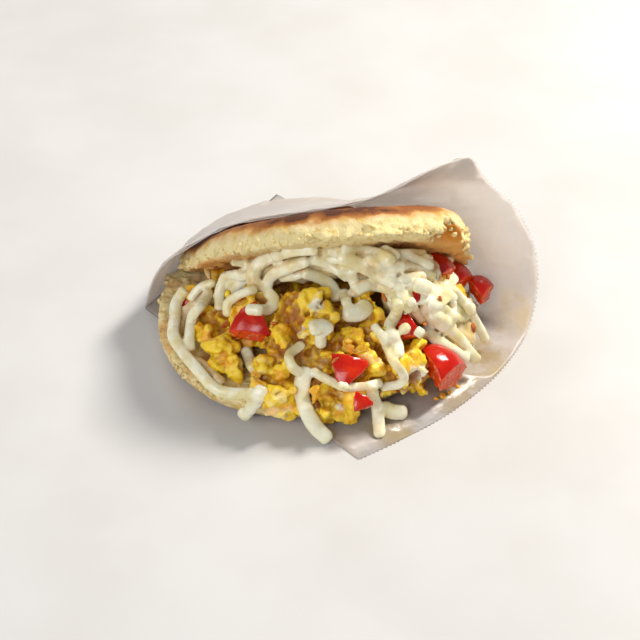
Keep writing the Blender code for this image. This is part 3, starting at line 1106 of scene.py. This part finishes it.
@dataclass
class ScrambledEgg:
    """Soft curds of egg: a base that runs through the filling, with the big curds on it."""

    curds: tuple[tuple[Point, Point], ...] = (
        ((0, -39, 43), (9, 7, 6)), ((4, -46, 37), (8, 7, 6)), ((-10, -50, 34), (5, 5, 9)),
        ((-24, -28, 36), (7, 6, 4)), ((-42, -27, 20), (6, 6, 6)), ((-35, -44, 17), (8, 6, 5)),
        ((20, -48, 32), (8, 5, 6)), ((28, -54, 25), (7, 6, 6)), ((43, -48, 21), (7, 6, 8)),
        ((-9, -64, 14), (8, 6, 9)), ((7, -65, 15), (7, 6, 7)), ((16, -67, 9), (7, 6, 7)),
        ((22, -33, 40), (8, 5, 4)), ((35, -40, 34), (5, 4, 4)), ((-12, -58, 22), (6, 5, 6)),
        ((-46, -2, 20), (6, 6, 5)), ((-33, 6, 22), (7, 6, 6)), ((-25, -1, 31), (7, 6, 6)),
        ((-14, -6, 42), (6, 5, 5)), ((58, 2, 28), (6, 6, 6)), ((67, 0, 20), (6, 6, 6)),
        ((48, 0, 36), (6, 6, 6)), ((57, -27, 38), (4, 3, 3)),
        ((61, -14, 37), (4, 4, 4)), ((-50, -6, 22), (5, 6, 5)), ((-30, -50, 15), (6, 4, 3)),
        ((-42, -50, 14), (4, 4, 3)), ((-20, -52, 17), (5, 5, 5)), ((-40, 6, 26), (6, 5, 5)),
    )
    curd_count: int = 68
    curd_sizes: tuple[float, float] = (2.2, 5.0)
    base_inset: float = 3.2 * MM
    lumps_each: int = 2
    spread: float = 0.3
    lump_share: tuple[float, float] = (0.65, 0.85)
    uneven: tuple[float, float] = (0.5, 1.3)
    clear_of_cover: float = 3.2 * MM
    clear_of_bread: float = 2 * MM
    lowest: float = 0.6 * MM
    sunk_depths: tuple[float, float] = (1.6 * MM, 3.8 * MM)
    whites: tuple[tuple[Point, float], ...] = (
        ((-7, -38, 49), 3.5), ((4, -43, 47), 3.5), ((47, -55, 19), 5), ((-3, -50, 40), 2.5),
        ((14, -72, 15), 3),
    )
    voxel: float = 0.8 * MM
    finish: EggFinish = field(default_factory=EggFinish)

    def build(self) -> bpy.types.Object:
        """Models the egg and dresses it.

        Returns:
            The finished piece.
        """
        dice = random.Random(SEED + 1)
        base = merged_copy("egg_filling", "egg_base")
        open_places = self._open_places(base)
        push(base, lambda place, normal: -self.base_inset)
        shapes = [base]
        for middle, radii in self.curds:
            for _ in range(self.lumps_each):
                shift = Vector([dice.uniform(-self.spread, self.spread) * r for r in radii])
                size = [r * dice.uniform(*self.lump_share) * MM for r in radii]
                shapes.append(lump((Vector(middle) + shift) * MM, size, dice, 3))
        for place in dice.sample(open_places, min(self.curd_count, len(open_places))):
            size = dice.uniform(*self.curd_sizes) * MM
            shapes.append(lump(place, [size * dice.uniform(*self.uneven) for _ in range(3)], dice, 3))
        egg = join(shapes, "egg_curds")
        remesh(egg, self.voxel, 1)
        push(egg, self._curdle)
        # Mask of painted shade in the dips of the relief.
        carry(egg, "dip_shade", self._dip_shade)
        carry(egg, "white", self._white)
        # Masks of juice and painted shade in the gaps, and of painted shade in the recesses.
        carry(egg, "gap_juice_and_shade", self._gap_juice_and_shade(tree_of(frame["nodes"]["egg_filling"])))
        carry_occlusion_shade(egg, 6 * MM)
        for vertex in egg.data.vertices:
            vertex.co.z = max(vertex.co.z, self.lowest)
        dress(egg, self.finish.material(), ["egg_filling"])
        return egg

    def _open_places(self, base: bpy.types.Object) -> list[Vector]:
        """Finds where cheese and tomato leave the egg uncovered.

        Args:
            base: The copy of the filling, which gets finer faces.

        Returns:
            Places on it.
        """
        nodes = frame["nodes"]
        covers = [tree_of(nodes[name]) for name in nodes if name.startswith(("cheese", "tomato"))]
        bread = tree_of(nodes["arepa_bread"])
        apply_modifier(base, "SUBSURF", subdivision_type="SIMPLE", levels=1, render_levels=1)
        found = []
        for vertex in base.data.vertices:
            clear = min(cover.find_nearest(vertex.co)[3] for cover in covers) > self.clear_of_cover
            if clear and vertex.normal.z > -0.2 and bread.find_nearest(vertex.co)[3] > self.clear_of_bread:
                found.append(vertex.co.copy())
        return found

    def _gap_juice_and_shade(self, outer: BVHTree) -> Callable[[Vector, Vector], float]:
        """How deep a place lies between the curds, where juice gathers and shade is painted.

        Args:
            outer: The filling's outer surface.

        Returns:
            The mask, from a place and its normal.
        """

        def depth(place: Vector, _normal: Vector) -> float:
            """The mask at one place.

            Args:
                place: A place on the egg.
                _normal: Its normal, which isn't used.

            Returns:
                0 on the curds, 0.9 at the bottom of the gaps.
            """
            near, normal, _face, _distance = outer.find_nearest(place)
            ragged = 0.9 * MM * noise_at(place, 4 * MM, 51)
            return 0.9 * smoothstep(*self.sunk_depths, (near - place).dot(normal) + ragged)

        return depth

    def _curdle(self, place: Vector, _normal: Vector) -> float:
        """Relief of the curds: soft lumps, crumbly grain and small torn pits.

        Args:
            place: A place on the egg.
            _normal: Its normal, which isn't used.

        Returns:
            How far the place moves out, in metres.
        """
        lumps = rough(place, (1.2, 5.5, 2), (0.95, 2.9, 6))
        grain = rough(place, (0.6, 1.7, 12))
        pits = -1.6 * smoothstep(0.25, 0.5, noise_at(place, 4.2 * MM, 23))
        return (lumps + grain + pits) * MM

    def _dip_shade(self, place: Vector, _normal: Vector) -> float:
        """Painted shade: 1 in the dips between the lumps, where the egg is painted darker."""
        return 0.8 * smoothstep(0.05, 0.4, -noise_at(place, 5.5 * MM, 2))

    def _white(self, place: Vector, _normal: Vector) -> float:
        """Where the white of egg shows.

        Args:
            place: A place on the egg.
            _normal: Its normal, which isn't used.

        Returns:
            1 on the patches of white, 0 elsewhere.
        """
        ragged = 1 + 0.5 * noise_at(place, 2.5 * MM, 21)
        near = [(place - Vector(m) * MM).length / (r * MM * ragged) for m, r in self.whites]
        return 1 - smoothstep(0.75, 1.1, min(near))


# Cheese

# Turns the heap so that its open side, which leans back, faces straight up.
SLOPE = Matrix.Rotation(math.radians(-51), 3, "X")
UNSLOPE = SLOPE.transposed()


@dataclass
class Shred:
    """One shred of cheese: the points it runs through in millimetres, its width and how far it has melted."""

    path: tuple[Point, ...]
    width: float
    kind: Kind = Kind.FIRM


@dataclass
class ShreddedCheese:
    """Half-melted shreds over a smaller core."""

    shreds: tuple[Shred, ...] = (
        Shred(((-33, -14, 49), (-26, -14, 48), (-19, -18, 52)), 5.2, Kind.SOFT),
        Shred(((-34, -12, 40), (-28, -18, 43), (-23, -21, 47)), 4.5, Kind.SOFT),
        Shred(((-8, -19, 56), (-18, -17, 50), (-28, -14, 42), (-37, -9, 36)), 4.8),
        Shred(((-15, -24, 49), (-10, -26, 55), (-4, -26, 58), (1, -25, 58)), 4.4),
        Shred(((-12, -25, 48), (-5, -29, 52), (1, -27, 54)), 4.4, Kind.SOFT),
        Shred(((15, -26, 66), (24, -23, 61), (31, -25, 60), (37, -26, 56)), 6.0, Kind.SOFT),
        Shred(((31, -23, 62), (39, -24, 57)), 6.0, Kind.SOFT),
        Shred(((25, -24, 58), (31, -27, 56), (39, -27, 52)), 5.0),
        Shred(((14, -30, 58), (22, -28, 52), (29, -27, 49)), 4.8),
        Shred(((-21, -27, 42), (-23, -22, 47), (-19, -20, 53), (-11, -22, 59), (-2, -22, 61),
                (9, -25, 63), (16, -27, 62)), 6.6),
        Shred(((1, -25, 58), (8, -28, 58), (14, -30, 55), (18, -30, 51)), 4.6),
        Shred(((13, -27, 61), (23, -28, 57), (32, -29, 52), (38, -31, 49)), 7.0, Kind.SOFT),
        Shred(((1, -26, 58), (-7, -28, 56), (-15, -24, 48), (-17, -28, 44), (-14, -34, 43),
                (-17, -37, 40), (-26, -39, 42)), 5.4),
        Shred(((-2, -29, 54), (6, -28, 50), (11, -28, 45), (13, -35, 43)), 5.6),
        Shred(((15, -39, 40), (22, -40, 41), (27, -37, 44)), 8.0, Kind.MELTED),
        Shred(((19, -32, 44), (25, -28, 46), (34, -32, 48), (38, -35, 45), (38, -38, 39), (35, -42, 34),
                (38, -46, 29), (39, -53, 27)), 5.8),
        Shred(((19, -30, 56), (20, -30, 50), (21, -27, 44)), 4.8),
        Shred(((16, -29, 45), (17, -37, 42)), 4.8),
        Shred(((1, -50, 40), (7, -48, 40), (10, -49, 37)), 7.0, Kind.MELTED),
        Shred(((6, -49, 38), (6, -54, 33)), 5.2, Kind.MELTED),
        Shred(((28, -44, 38), (33, -48, 32), (36, -55, 28), (41, -59, 22), (39, -61, 19), (31, -62, 18)),
               4.3),
        Shred(((-1, -53, 35), (-7, -57, 32), (-6, -60, 28), (-2, -61, 25)), 4.6),
        Shred(((2, -60, 26), (10, -66, 25), (17, -66, 22), (25, -68, 24), (32, -62, 21)), 4.2),
        Shred(((0, -59, 27), (-2, -66, 21), (0, -73, 15), (4, -76, 8), (10, -79, 3)), 7.2),
        Shred(((27, -61, 18), (30, -66, 9), (31, -76, 2)), 5.6),
        Shred(((31, -63, 8), (37, -64, 6), (43, -62, 4)), 7.0, Kind.SOFT),
        Shred(((-54, -2, 24), (-58, -10, 22), (-58, -20, 22), (-58, -32, 22), (-54, -40, 20),
                (-47, -52, 20), (-40, -60, 17), (-33, -61, 14), (-21, -63, 16)), 5.5),
        Shred(((-18, -64, 21), (-22, -66, 13), (-28, -67, 5)), 6.8),
        Shred(((-43, -11, 31), (-45, -17, 28), (-50, -20, 22), (-51, -33, 22), (-50, -42, 21)), 5.0),
        Shred(((-40, -10, 34), (-47, -10, 31), (-52, -13, 26)), 4.2, Kind.SOFT),
        Shred(((-35, -13, 41), (-38, -15, 33), (-38, -25, 30)), 4.8),
        Shred(((-21, -26, 43), (-29, -28, 41), (-34, -29, 37), (-34, -33, 33)), 4.4),
        Shred(((-27, -40, 22), (-24, -43, 16), (-21, -46, 13)), 5.4),
        Shred(((35, -27, 55), (45, -25, 53), (55, -23, 46)), 5.2, Kind.SOFT),
        Shred(((39, -30, 50), (44, -28, 50), (51, -25, 49)), 4.8),
        Shred(((45, -33, 51), (53, -27, 43)), 7.0, Kind.MELTED),
        Shred(((63, -19, 37), (68, -21, 32), (73, -20, 26)), 4.8),
        Shred(((63, -23, 34), (63, -33, 32), (61, -35, 31)), 4.0),
        Shred(((43, -38, 47), (47, -37, 38), (50, -37, 33)), 4.4),
        Shred(((51, -33, 40), (57, -32, 38), (65, -29, 28)), 4.8, Kind.SOFT),
        Shred(((52, -35, 37), (58, -35, 33), (64, -32, 25)), 4.8),
        Shred(((50, -36, 30), (57, -39, 24), (64, -41, 20), (70, -38, 12)), 5.6),
        Shred(((55, -37, 34), (65, -34, 23), (70, -35, 16), (75, -35, 9)), 5.6),
        Shred(((40, -43, 37), (43, -45, 34)), 5.6, Kind.SOFT),
        Shred(((46, -44, 35), (51, -36, 24)), 5.0, Kind.SOFT),
        Shred(((68, -12, 26), (76, -16, 14), (80, -18, 6)), 4.4, Kind.SOFT),
    )
    loose: int = 46
    loose_floor: float = 30 * MM
    spacing: float = 1.1 * MM
    voxel: float = 0.62 * MM
    mat_voxel: float = 0.7 * MM
    core_voxel: float = 1.1 * MM
    core_inset: float = 3.2 * MM
    # Painted shade, the same all over the core, so that the core shows darker between the shreds.
    core_shade: float = 0.5
    lowest: float = 0.4 * MM
    loose_step: float = 6 * MM
    loose_widths: tuple[float, float] = (4.0, 5.2)
    loose_reach: float = 12 * MM
    most_droop: float = 2.5 * MM
    droop_in_air: float = 3 * MM
    evenings: int = 10
    least_tip: float = 0.3
    lid_gap: float = 0.6 * MM
    lid_search: tuple[float, float] = (12 * MM, 20 * MM)
    stacking: float = 0.75
    bluntness: float = 1.7
    reach: float = 9 * MM
    finish: CheeseFinish = field(default_factory=CheeseFinish)

    def build(self, cake: bpy.types.Object, below: Sequence[bpy.types.Object]) -> list[bpy.types.Object]:
        """Models the core and the shreds on it.

        Args:
            cake: The bread, whose lid the shreds stay under.
            below: What the shreds lie on.

        Returns:
            The finished pieces.
        """
        material = self.finish.material()
        core = merged_copy("cheese_heap", "cheese_core")
        push(core, lambda place, normal: -self.core_inset)
        remesh(core, self.core_voxel, 3)
        push(core, lambda place, normal: rough(place, (1.0, 5), (0.5, 2.2, 5)) * MM)
        # Painted shade: the whole core is painted darker, to show in the gaps between the shreds.
        carry(core, "occlusion_shade", lambda place, normal: self.core_shade)
        dress(core, material)
        self.bed = Bed([core, *below])
        self.core_bed = Bed([core])
        self.roof = tree_of(cake, SLOPE)
        dice = random.Random(SEED + 2)
        mat = self._melt("cheese_mat", self._loose_shreds(core, dice), self.mat_voxel, dice)
        dress(mat, material)
        shreds = self._melt("cheese_shreds", self.shreds, self.voxel, dice)
        dress(shreds, material, ["cheese_heap"])
        return [core, mat, shreds]

    def _melt(
        self, name: str, shreds: Sequence[Shred], voxel: float, dice: random.Random
    ) -> bpy.types.Object:
        """Lays shreds one after the other and melts them together where they meet.

        Args:
            name: Name of the piece.
            shreds: The shreds, the lowest first.
            voxel: Size of the faces.
            dice: The random source.

        Returns:
            The undressed piece.
        """
        curve = self._empty_curve(name)
        for shred in shreds:
            self._lay(curve, shred, dice)
        made = self._to_mesh(curve)
        made.data.transform(UNSLOPE.to_4x4())
        remesh(made, voxel, 2)
        push(made, lambda place, normal: rough(place, (0.14, 4), (0.06, 1.8, 3)) * MM)
        for vertex in made.data.vertices:
            vertex.co.z = max(vertex.co.z, self.lowest)
        # Mask of painted shade in the recesses between the shreds.
        carry_occlusion_shade(made, 4 * MM)
        return made

    def _empty_curve(self, name: str) -> bpy.types.Object:
        """A curve with no splines yet, with an oval section one unit wide.

        Args:
            name: Name of the curve.

        Returns:
            The curve.
        """
        bpy.ops.object.select_all(action="DESELECT")
        bpy.ops.curve.primitive_bezier_circle_add(radius=0.5)
        section = bpy.context.object
        section.name = "shred_section"
        section.data.resolution_u = 3
        section.data.transform(Matrix.Diagonal((1.0, Kind.FIRM.value, 1.0, 1.0)))
        bpy.ops.curve.primitive_nurbs_path_add()
        curve = bpy.context.object
        curve.name = name
        curve.data.splines.clear()
        curve.data.bevel_mode = "OBJECT"
        curve.data.bevel_object = section
        curve.data.twist_mode = "Z_UP"
        curve.data.use_fill_caps = True
        return curve

    def _loose_shreds(self, core: bpy.types.Object, dice: random.Random) -> list[Shred]:
        """Shreds that wander over the core, as long as they stay on it.

        Args:
            core: The core.
            dice: The random source.

        Returns:
            The shreds.
        """
        starts = [SLOPE @ v.co for v in core.data.vertices
                  if (SLOPE @ v.normal).z > 0.4 and v.co.z > self.loose_floor]
        made = []
        while len(made) < self.loose:
            place = dice.choice(starts).copy()
            heading = dice.choice((0, math.pi)) + dice.gauss(0, 0.7)
            bend = dice.uniform(-0.3, 0.3)
            path = []
            for _ in range(dice.randint(3, 6)):
                height = self.core_bed.height(place.x, place.y, place.z, self.loose_reach)
                if height is None:
                    break
                place.z = height
                path.append(tuple(c / MM for c in UNSLOPE @ place))
                heading += bend + dice.uniform(-0.25, 0.25)
                place = place + Vector((math.cos(heading), math.sin(heading), 0)) * self.loose_step
            if len(path) >= 3:
                width = dice.uniform(*self.loose_widths)
                made.append(Shred(tuple(path), width, dice.choice((Kind.FIRM, Kind.SOFT))))
        return made

    def _lay(self, curve: bpy.types.Object, shred: Shred, dice: random.Random) -> None:
        """Lays one shred on what is below it and adds it to the curve.

        Args:
            curve: The curve that holds all the shreds.
            shred: The shred.
            dice: The random source.
        """
        points = [SLOPE @ point for point in spline(shred.path, self.spacing)]
        half = shred.width * MM / 2
        rise = half * shred.kind.value
        floors = []
        for point in points:
            found = self.bed.height(point.x, point.y, point.z, self.reach)
            floors.append(point.z - self.droop_in_air if found is None else found + rise * self.stacking)
        heights = [max(floor, point.z - self.most_droop) for floor, point in zip(floors, points)]
        for _ in range(self.evenings):
            mean = [(heights[max(i - 1, 0)] + heights[i] + heights[min(i + 1, len(heights) - 1)]) / 3
                    for i in range(len(heights))]
            heights = [max(m, f - 0.25 * half) for m, f in zip(mean, floors)]
        below, reach = self.lid_search
        for point, height in zip(points, heights):
            start = Vector((point.x, point.y, height - below))
            lid, normal, _face, _distance = self.roof.ray_cast(start, Vector((0, 0, 1)), reach)
            if lid is not None and normal.z < 0:
                height = min(height, lid.z - rise - self.lid_gap)
            point.z = height
        line = curve.data.splines.new("POLY")
        line.points.add(len(points) - 1)
        wobble = dice.uniform(0, 90)
        last = len(points) - 1
        for i, (point, target) in enumerate(zip(points, line.points)):
            from_end = min(i, last - i) * self.spacing / half
            tip = max(1 - (1 - min(from_end * self.bluntness, 1.0)) ** 2, self.least_tip) ** 0.5
            width = shred.width * MM * tip * (1 + 0.1 * noise_at(point, 9 * MM, wobble))
            target.co = (*point, 1)
            target.radius = width
            self.bed.add(point, rise * tip)

    def _to_mesh(self, curve: bpy.types.Object) -> bpy.types.Object:
        """Turns the curve into a mesh and removes its section.

        Args:
            curve: The curve.

        Returns:
            The mesh object.
        """
        section = curve.data.bevel_object
        activate(curve)
        bpy.ops.object.convert(target="MESH")
        made = bpy.context.object
        bpy.data.objects.remove(section, do_unlink=True)
        bpy.ops.object.mode_set(mode="EDIT")
        bpy.ops.mesh.select_all(action="SELECT")
        bpy.ops.mesh.remove_doubles(threshold=0.00002)
        bpy.ops.mesh.normals_make_consistent(inside=False)
        bpy.ops.object.mode_set(mode="OBJECT")
        return made


class Bed:
    """What the filling's scraps lie on: finished meshes, and the round bodies laid so far.

    Its places are turned by SLOPE, so that what lies on the heap is pressed square on its open side.
    """

    def __init__(self, objects: Sequence[bpy.types.Object]) -> None:
        """Reads the meshes.

        Args:
            objects: The pieces that make up the bed.
        """
        self.trees = [tree_of(obj, SLOPE) for obj in objects]
        self.laid = np.zeros((0, 4))

    def height(self, x: float, y: float, z: float, reach: float) -> float | None:
        """Height of the surface near a point.

        Args:
            x: Place.
            y: Place.
            z: Height near which the surface is looked for.
            reach: How far above or below it may be.

        Returns:
            The height, or None where there is nothing.
        """
        start = Vector((x, y, z + reach))
        found = [tree.ray_cast(start, Vector((0, 0, -1)), 2 * reach)[0] for tree in self.trees]
        heights = [hit.z for hit in found if hit is not None]
        if len(self.laid):
            over = self.laid[:, 3] ** 2 - (self.laid[:, 0] - x) ** 2 - (self.laid[:, 1] - y) ** 2
            near = over > 0
            tops = self.laid[near, 2] + np.sqrt(over[near])
            tops = tops[tops < z + reach]
            if len(tops):
                heights.append(float(tops.max()))
        return max(heights) if heights else None

    def add(self, place: Vector, radius: float) -> None:
        """Adds a round body to the bed."""
        self.laid = np.vstack([self.laid, (*place, radius)])


# Small scraps


@dataclass
class Scraps:
    """Scraps of one kind: middles and half sizes in millimetres, and the share of the sizes used."""

    name: str
    finish: MorselFinish
    places: tuple[tuple[Point, Point], ...]
    share: float = 0.75
    reach: float = 8 * MM
    lift: float = 0.25
    lowest: float = 0.5 * MM
    seed: int = SEED + 3

    def build(self, bed: Bed) -> bpy.types.Object:
        """Models the scraps on the filling.

        Args:
            bed: What they lie on.

        Returns:
            The finished piece.
        """
        dice = random.Random(self.seed)
        made = []
        for middle, radii in self.places:
            place = SLOPE @ Vector(middle) * MM
            found = bed.height(place.x, place.y, place.z, self.reach)
            if found is not None:
                place.z = found + self.lift * min(radii) * MM
            made.append(lump(UNSLOPE @ place, [r * self.share * MM for r in radii], dice, 3))
        obj = join(made, self.name)
        push(obj, lambda place, normal: rough(place, (0.2, 1.8)) * MM)
        for vertex in obj.data.vertices:
            vertex.co.z = max(vertex.co.z, self.lowest)
        dress(obj, self.finish.material())
        return obj


# Bag


@dataclass
class GreaseproofBag:
    """The paper bag: one thin sheet with a pinked mouth, soft creases and spots of fat."""

    mouth: tuple[Point, ...] = (
        (22, -87, 0), (43, -73, 0), (64, -56, 0), (83, -34, 0), (97, -10, 1), (103, 4, 10),
        (104, 11, 24), (101, 14, 38), (91, 15, 58), (79, 11, 72), (70, 6, 91),
    )
    fat_spots: tuple[tuple[Point, float], ...] = (
        ((76, -28, 0), 20), ((62, -46, 0), 14), ((36, -70, 0), 12), ((8, -78, 0), 9), ((92, 0, 10), 12),
        ((-30, -62, 0), 8), ((86, 8, 34), 8),
    )
    rim_width: float = 0.6 * MM
    thickness: float = 0.14 * MM
    levels: int = 3
    tooth: float = 0.65 * MM
    near_mouth: float = 4 * MM
    fold_angle: float = 1.5
    finish: GreaseproofFinish = field(default_factory=GreaseproofFinish)

    def build(self) -> bpy.types.Object:
        """Models the bag and dresses it.

        Returns:
            The finished piece.
        """
        bag = merged_copy("paper_bag", "greaseproof_bag")
        self._single_ply(bag)
        activate(bag)
        bpy.ops.object.mode_set(mode="EDIT")
        bpy.ops.mesh.select_all(action="SELECT")
        bpy.ops.mesh.tris_convert_to_quads()
        bpy.ops.object.mode_set(mode="OBJECT")
        apply_modifier(bag, "SUBSURF", levels=self.levels, render_levels=self.levels,
                       boundary_smooth="PRESERVE_CORNERS")
        self._pink(bag)
        push(bag, self._creases)
        for vertex in bag.data.vertices:
            vertex.co.z = max(vertex.co.z, self.thickness)
        carry(bag, "fat", self._fat)
        carry(bag, "double", self._double)
        apply_modifier(bag, "SOLIDIFY", thickness=self.thickness, offset=0)
        dress(bag, self.finish.material(), ["paper_bag"])
        return bag

    def _single_ply(self, bag: bpy.types.Object) -> None:
        """Leaves the inner of the sheet's two faces, with its closed edges marked as sharp folds.

        Args:
            bag: The bag.
        """
        shape = bmesh.new()
        shape.from_mesh(bag.data)
        rim = [f for f in shape.faces if min(e.calc_length() for e in f.edges) < self.rim_width]
        bmesh.ops.delete(shape, geom=rim, context="FACES")
        shape.verts.ensure_lookup_table()
        sheet = {shape.verts[0]}
        front = [shape.verts[0]]
        while front:
            for edge in front.pop().link_edges:
                for vertex in edge.verts:
                    if vertex not in sheet:
                        sheet.add(vertex)
                        front.append(vertex)
        bmesh.ops.delete(shape, geom=[v for v in shape.verts if v not in sheet], context="VERTS")
        crease = shape.edges.layers.float.new("crease_edge")
        for edge in shape.edges:
            if len(edge.link_faces) == 2 and edge.calc_face_angle(0) > self.fold_angle:
                edge[crease] = 1.0
        shape.to_mesh(bag.data)
        shape.free()

    def _pink(self, bag: bpy.types.Object) -> None:
        """Cuts the zigzag into the mouth's edge.

        Args:
            bag: The bag.
        """
        line = [Vector(p) * MM for p in self.mouth]
        shape = bmesh.new()
        shape.from_mesh(bag.data)
        start = min((v for v in shape.verts if v.is_boundary), key=lambda v: (v.co - line[0]).length)
        seen = {start}
        vertex: bmesh.types.BMVert | None = start
        count = 0
        while vertex:
            near = min(self._distance(vertex.co, a, b) for a, b in zip(line, line[1:]))
            if near < self.near_mouth:
                inner = [e.other_vert(vertex) for e in vertex.link_edges if not e.is_boundary]
                if inner:
                    out = (vertex.co - inner[0].co).normalized()
                    vertex.co += out * self.tooth * (1 if count % 2 else -1)
                count += 1
            following = [e.other_vert(vertex) for e in vertex.link_edges if e.is_boundary]
            following = [v for v in following if v not in seen]
            vertex = following[0] if following else None
            if vertex:
                seen.add(vertex)
        shape.to_mesh(bag.data)
        shape.free()

    @staticmethod
    def _distance(place: Vector, start: Vector, end: Vector) -> float:
        """Distance from a place to a straight stretch.

        Args:
            place: The place.
            start: One end of the stretch.
            end: Its other end.

        Returns:
            The distance.
        """
        along = end - start
        share = min(max((place - start).dot(along) / along.length_squared, 0.0), 1.0)
        return (place - start - along * share).length

    def _creases(self, place: Vector, _normal: Vector) -> float:
        """Flat facets parted by crisp ridges, as in handled paper.

        Args:
            place: A place on the paper.
            _normal: Its normal, which isn't used.

        Returns:
            How far the place moves out, in metres.
        """
        near, other = noise.voronoi(place / (24 * MM))[0][:2]
        fine, finer = noise.voronoi(place / (10 * MM) + Vector((5, 5, 5)))[0][:2]
        wide = 1 - smoothstep(0.0, 0.22, other - near)
        small = 1 - smoothstep(0.0, 0.2, finer - fine)
        return (0.45 * wide + 0.15 * small + 0.35 * noise_at(place, 18 * MM)) * MM

    def _fat(self, place: Vector, _normal: Vector) -> float:
        """1 where fat has soaked into the paper."""
        near = [(place - Vector(m) * MM).length / (r * MM) for m, r in self.fat_spots]
        return 1 - smoothstep(0.55, 1.15, min(near) + 0.25 * noise_at(place, 8 * MM))

    def _double(self, place: Vector, _normal: Vector) -> float:
        """1 where the bag's tip is folded double."""
        return smoothstep(76 * MM, 82 * MM, place.z + 0.3 * place.x - 18 * MM)


# Studio


@dataclass(frozen=True)
class Lamp:
    """A soft square light aimed at the food: its name, place, side, watts and linear colour."""

    name: str
    place: Point
    size: float
    power: float
    colour: Point


@dataclass
class Studio:
    """The pale ground, the lights and the camera."""

    tilt: float = math.radians(39.2)
    camera_place: Vector = field(default_factory=lambda: Vector((0.0057, -0.6489, 0.5335)))
    lens: float = 104.06
    ground: float = 6.0
    lamps: tuple[Lamp, ...] = (
        Lamp("key_light", (0.55, 0.3, 0.75), 0.22, 12.5, (1.0, 0.95, 0.87)),
        Lamp("fill_light", (-0.3, -0.8, 0.55), 0.5, 3.9, (0.94, 0.96, 1.0)),
        Lamp("side_light", (-0.7, -0.35, 0.4), 0.4, 1.5, (1.0, 0.98, 0.95)),
        Lamp("back_light", (-0.35, 0.6, 0.5), 0.5, 1.6, (1.0, 0.97, 0.93)),
    )
    aim: Point = (0, -0.01, 0.03)
    sky: Colour = (0.95, 0.97, 1.0, 1)
    sky_strength: float = 0.2
    finish: TableFinish = field(default_factory=TableFinish)

    def build(self) -> None:
        """Sets up the ground, the lights, the surroundings and the camera."""
        bpy.ops.object.select_all(action="DESELECT")
        bpy.ops.mesh.primitive_plane_add(size=self.ground, location=(0, 0, 0))
        floor = bpy.context.object
        floor.name = "ground"
        floor.data.materials.append(self.finish.material())
        for lamp in self.lamps:
            self._hang(lamp)
        world = bpy.data.worlds.new("studio")
        world.use_nodes = True
        world.node_tree.nodes["Background"].inputs["Color"].default_value = self.sky
        world.node_tree.nodes["Background"].inputs["Strength"].default_value = self.sky_strength
        bpy.context.scene.world = world
        bpy.context.scene.view_settings.view_transform = "Standard"
        bpy.ops.object.camera_add(location=self.camera_place, rotation=(math.pi / 2 - self.tilt, 0, 0))
        camera = bpy.context.object
        camera.name = "camera"
        camera.data.lens = self.lens
        camera.data.clip_start = 0.05
        bpy.context.scene.camera = camera
        log.info("studio ready")

    def _hang(self, lamp: Lamp) -> None:
        """Adds a light.

        Args:
            lamp: The light.
        """
        bpy.ops.object.light_add(type="AREA", location=lamp.place)
        light = bpy.context.object
        light.name = lamp.name
        light.data.size = lamp.size
        light.data.energy = lamp.power
        light.data.color = lamp.colour
        light.rotation_euler = (Vector(self.aim) - Vector(lamp.place)).to_track_quat("-Z", "Y").to_euler()


PEPPER = MorselFinish("fried_pepper", shade(206, 116, 28), shade(168, 74, 14))
ONION = MorselFinish("soft_onion", shade(226, 208, 158), shade(206, 168, 96), 0.22)
EGG_SCRAP = MorselFinish("egg_scrap", shade(244, 192, 40), shade(222, 148, 20))

SCRAPS = (
    Scraps("pepper_scraps", PEPPER, (
        ((33, -34, 45), (1.4, 3.4, 1.0)), ((57, -28, 39), (2.6, 1.4, 1.0)), ((73, -26, 21), (3.0, 1.5, 1.0)),
        ((-34, -34, 30), (1.6, 4.5, 1.1)), ((-29, -38, 25), (1.4, 3.5, 1.0)),
        ((12, -58, 30), (1.2, 2.4, 0.8)),
        ((50, -40, 35), (1.2, 2.0, 0.9)), ((-45, -22, 25), (1.2, 2.4, 0.9)), ((61, -12, 38), (2.2, 1.2, 0.9)),
        ((52, -52, 22), (3.2, 1.2, 0.9)), ((-14, -46, 40), (1.2, 1.8, 0.8)),
    )),
    Scraps("onion_slivers", ONION, (
        ((-44, -2, 34), (2.4, 5.0, 1.4)), ((-26, -13, 49), (4.5, 2.0, 1.6)),
    )),
    Scraps("egg_scraps", EGG_SCRAP, (
        ((59, -48, 1), (2.6, 2.0, 1.4)), ((62, -46, 1), (1.6, 1.4, 1.0)), ((56, -50, 1), (1.2, 1.6, 0.9)),
        ((66, -42, 1), (1.3, 1.0, 0.8)),
    )),
)


def main() -> None:
    """Builds every piece in order and logs it."""
    logging.basicConfig(level=logging.INFO, format="%(name)s: %(message)s")
    shape = CornCake()
    cake = shape.build()
    BreadCrumbs().build(cake, shape)
    tomatoes = TomatoPieces().build()
    egg = ScrambledEgg().build()
    bag = GreaseproofBag().build()
    cheese = ShreddedCheese().build(cake, [egg, cake, bag, *tomatoes])
    bed = Bed([egg, bag, cake, *tomatoes, *cheese])
    for scraps in SCRAPS:
        scraps.build(bed)
    Studio().build()


if __name__ == "__main__":
    main()
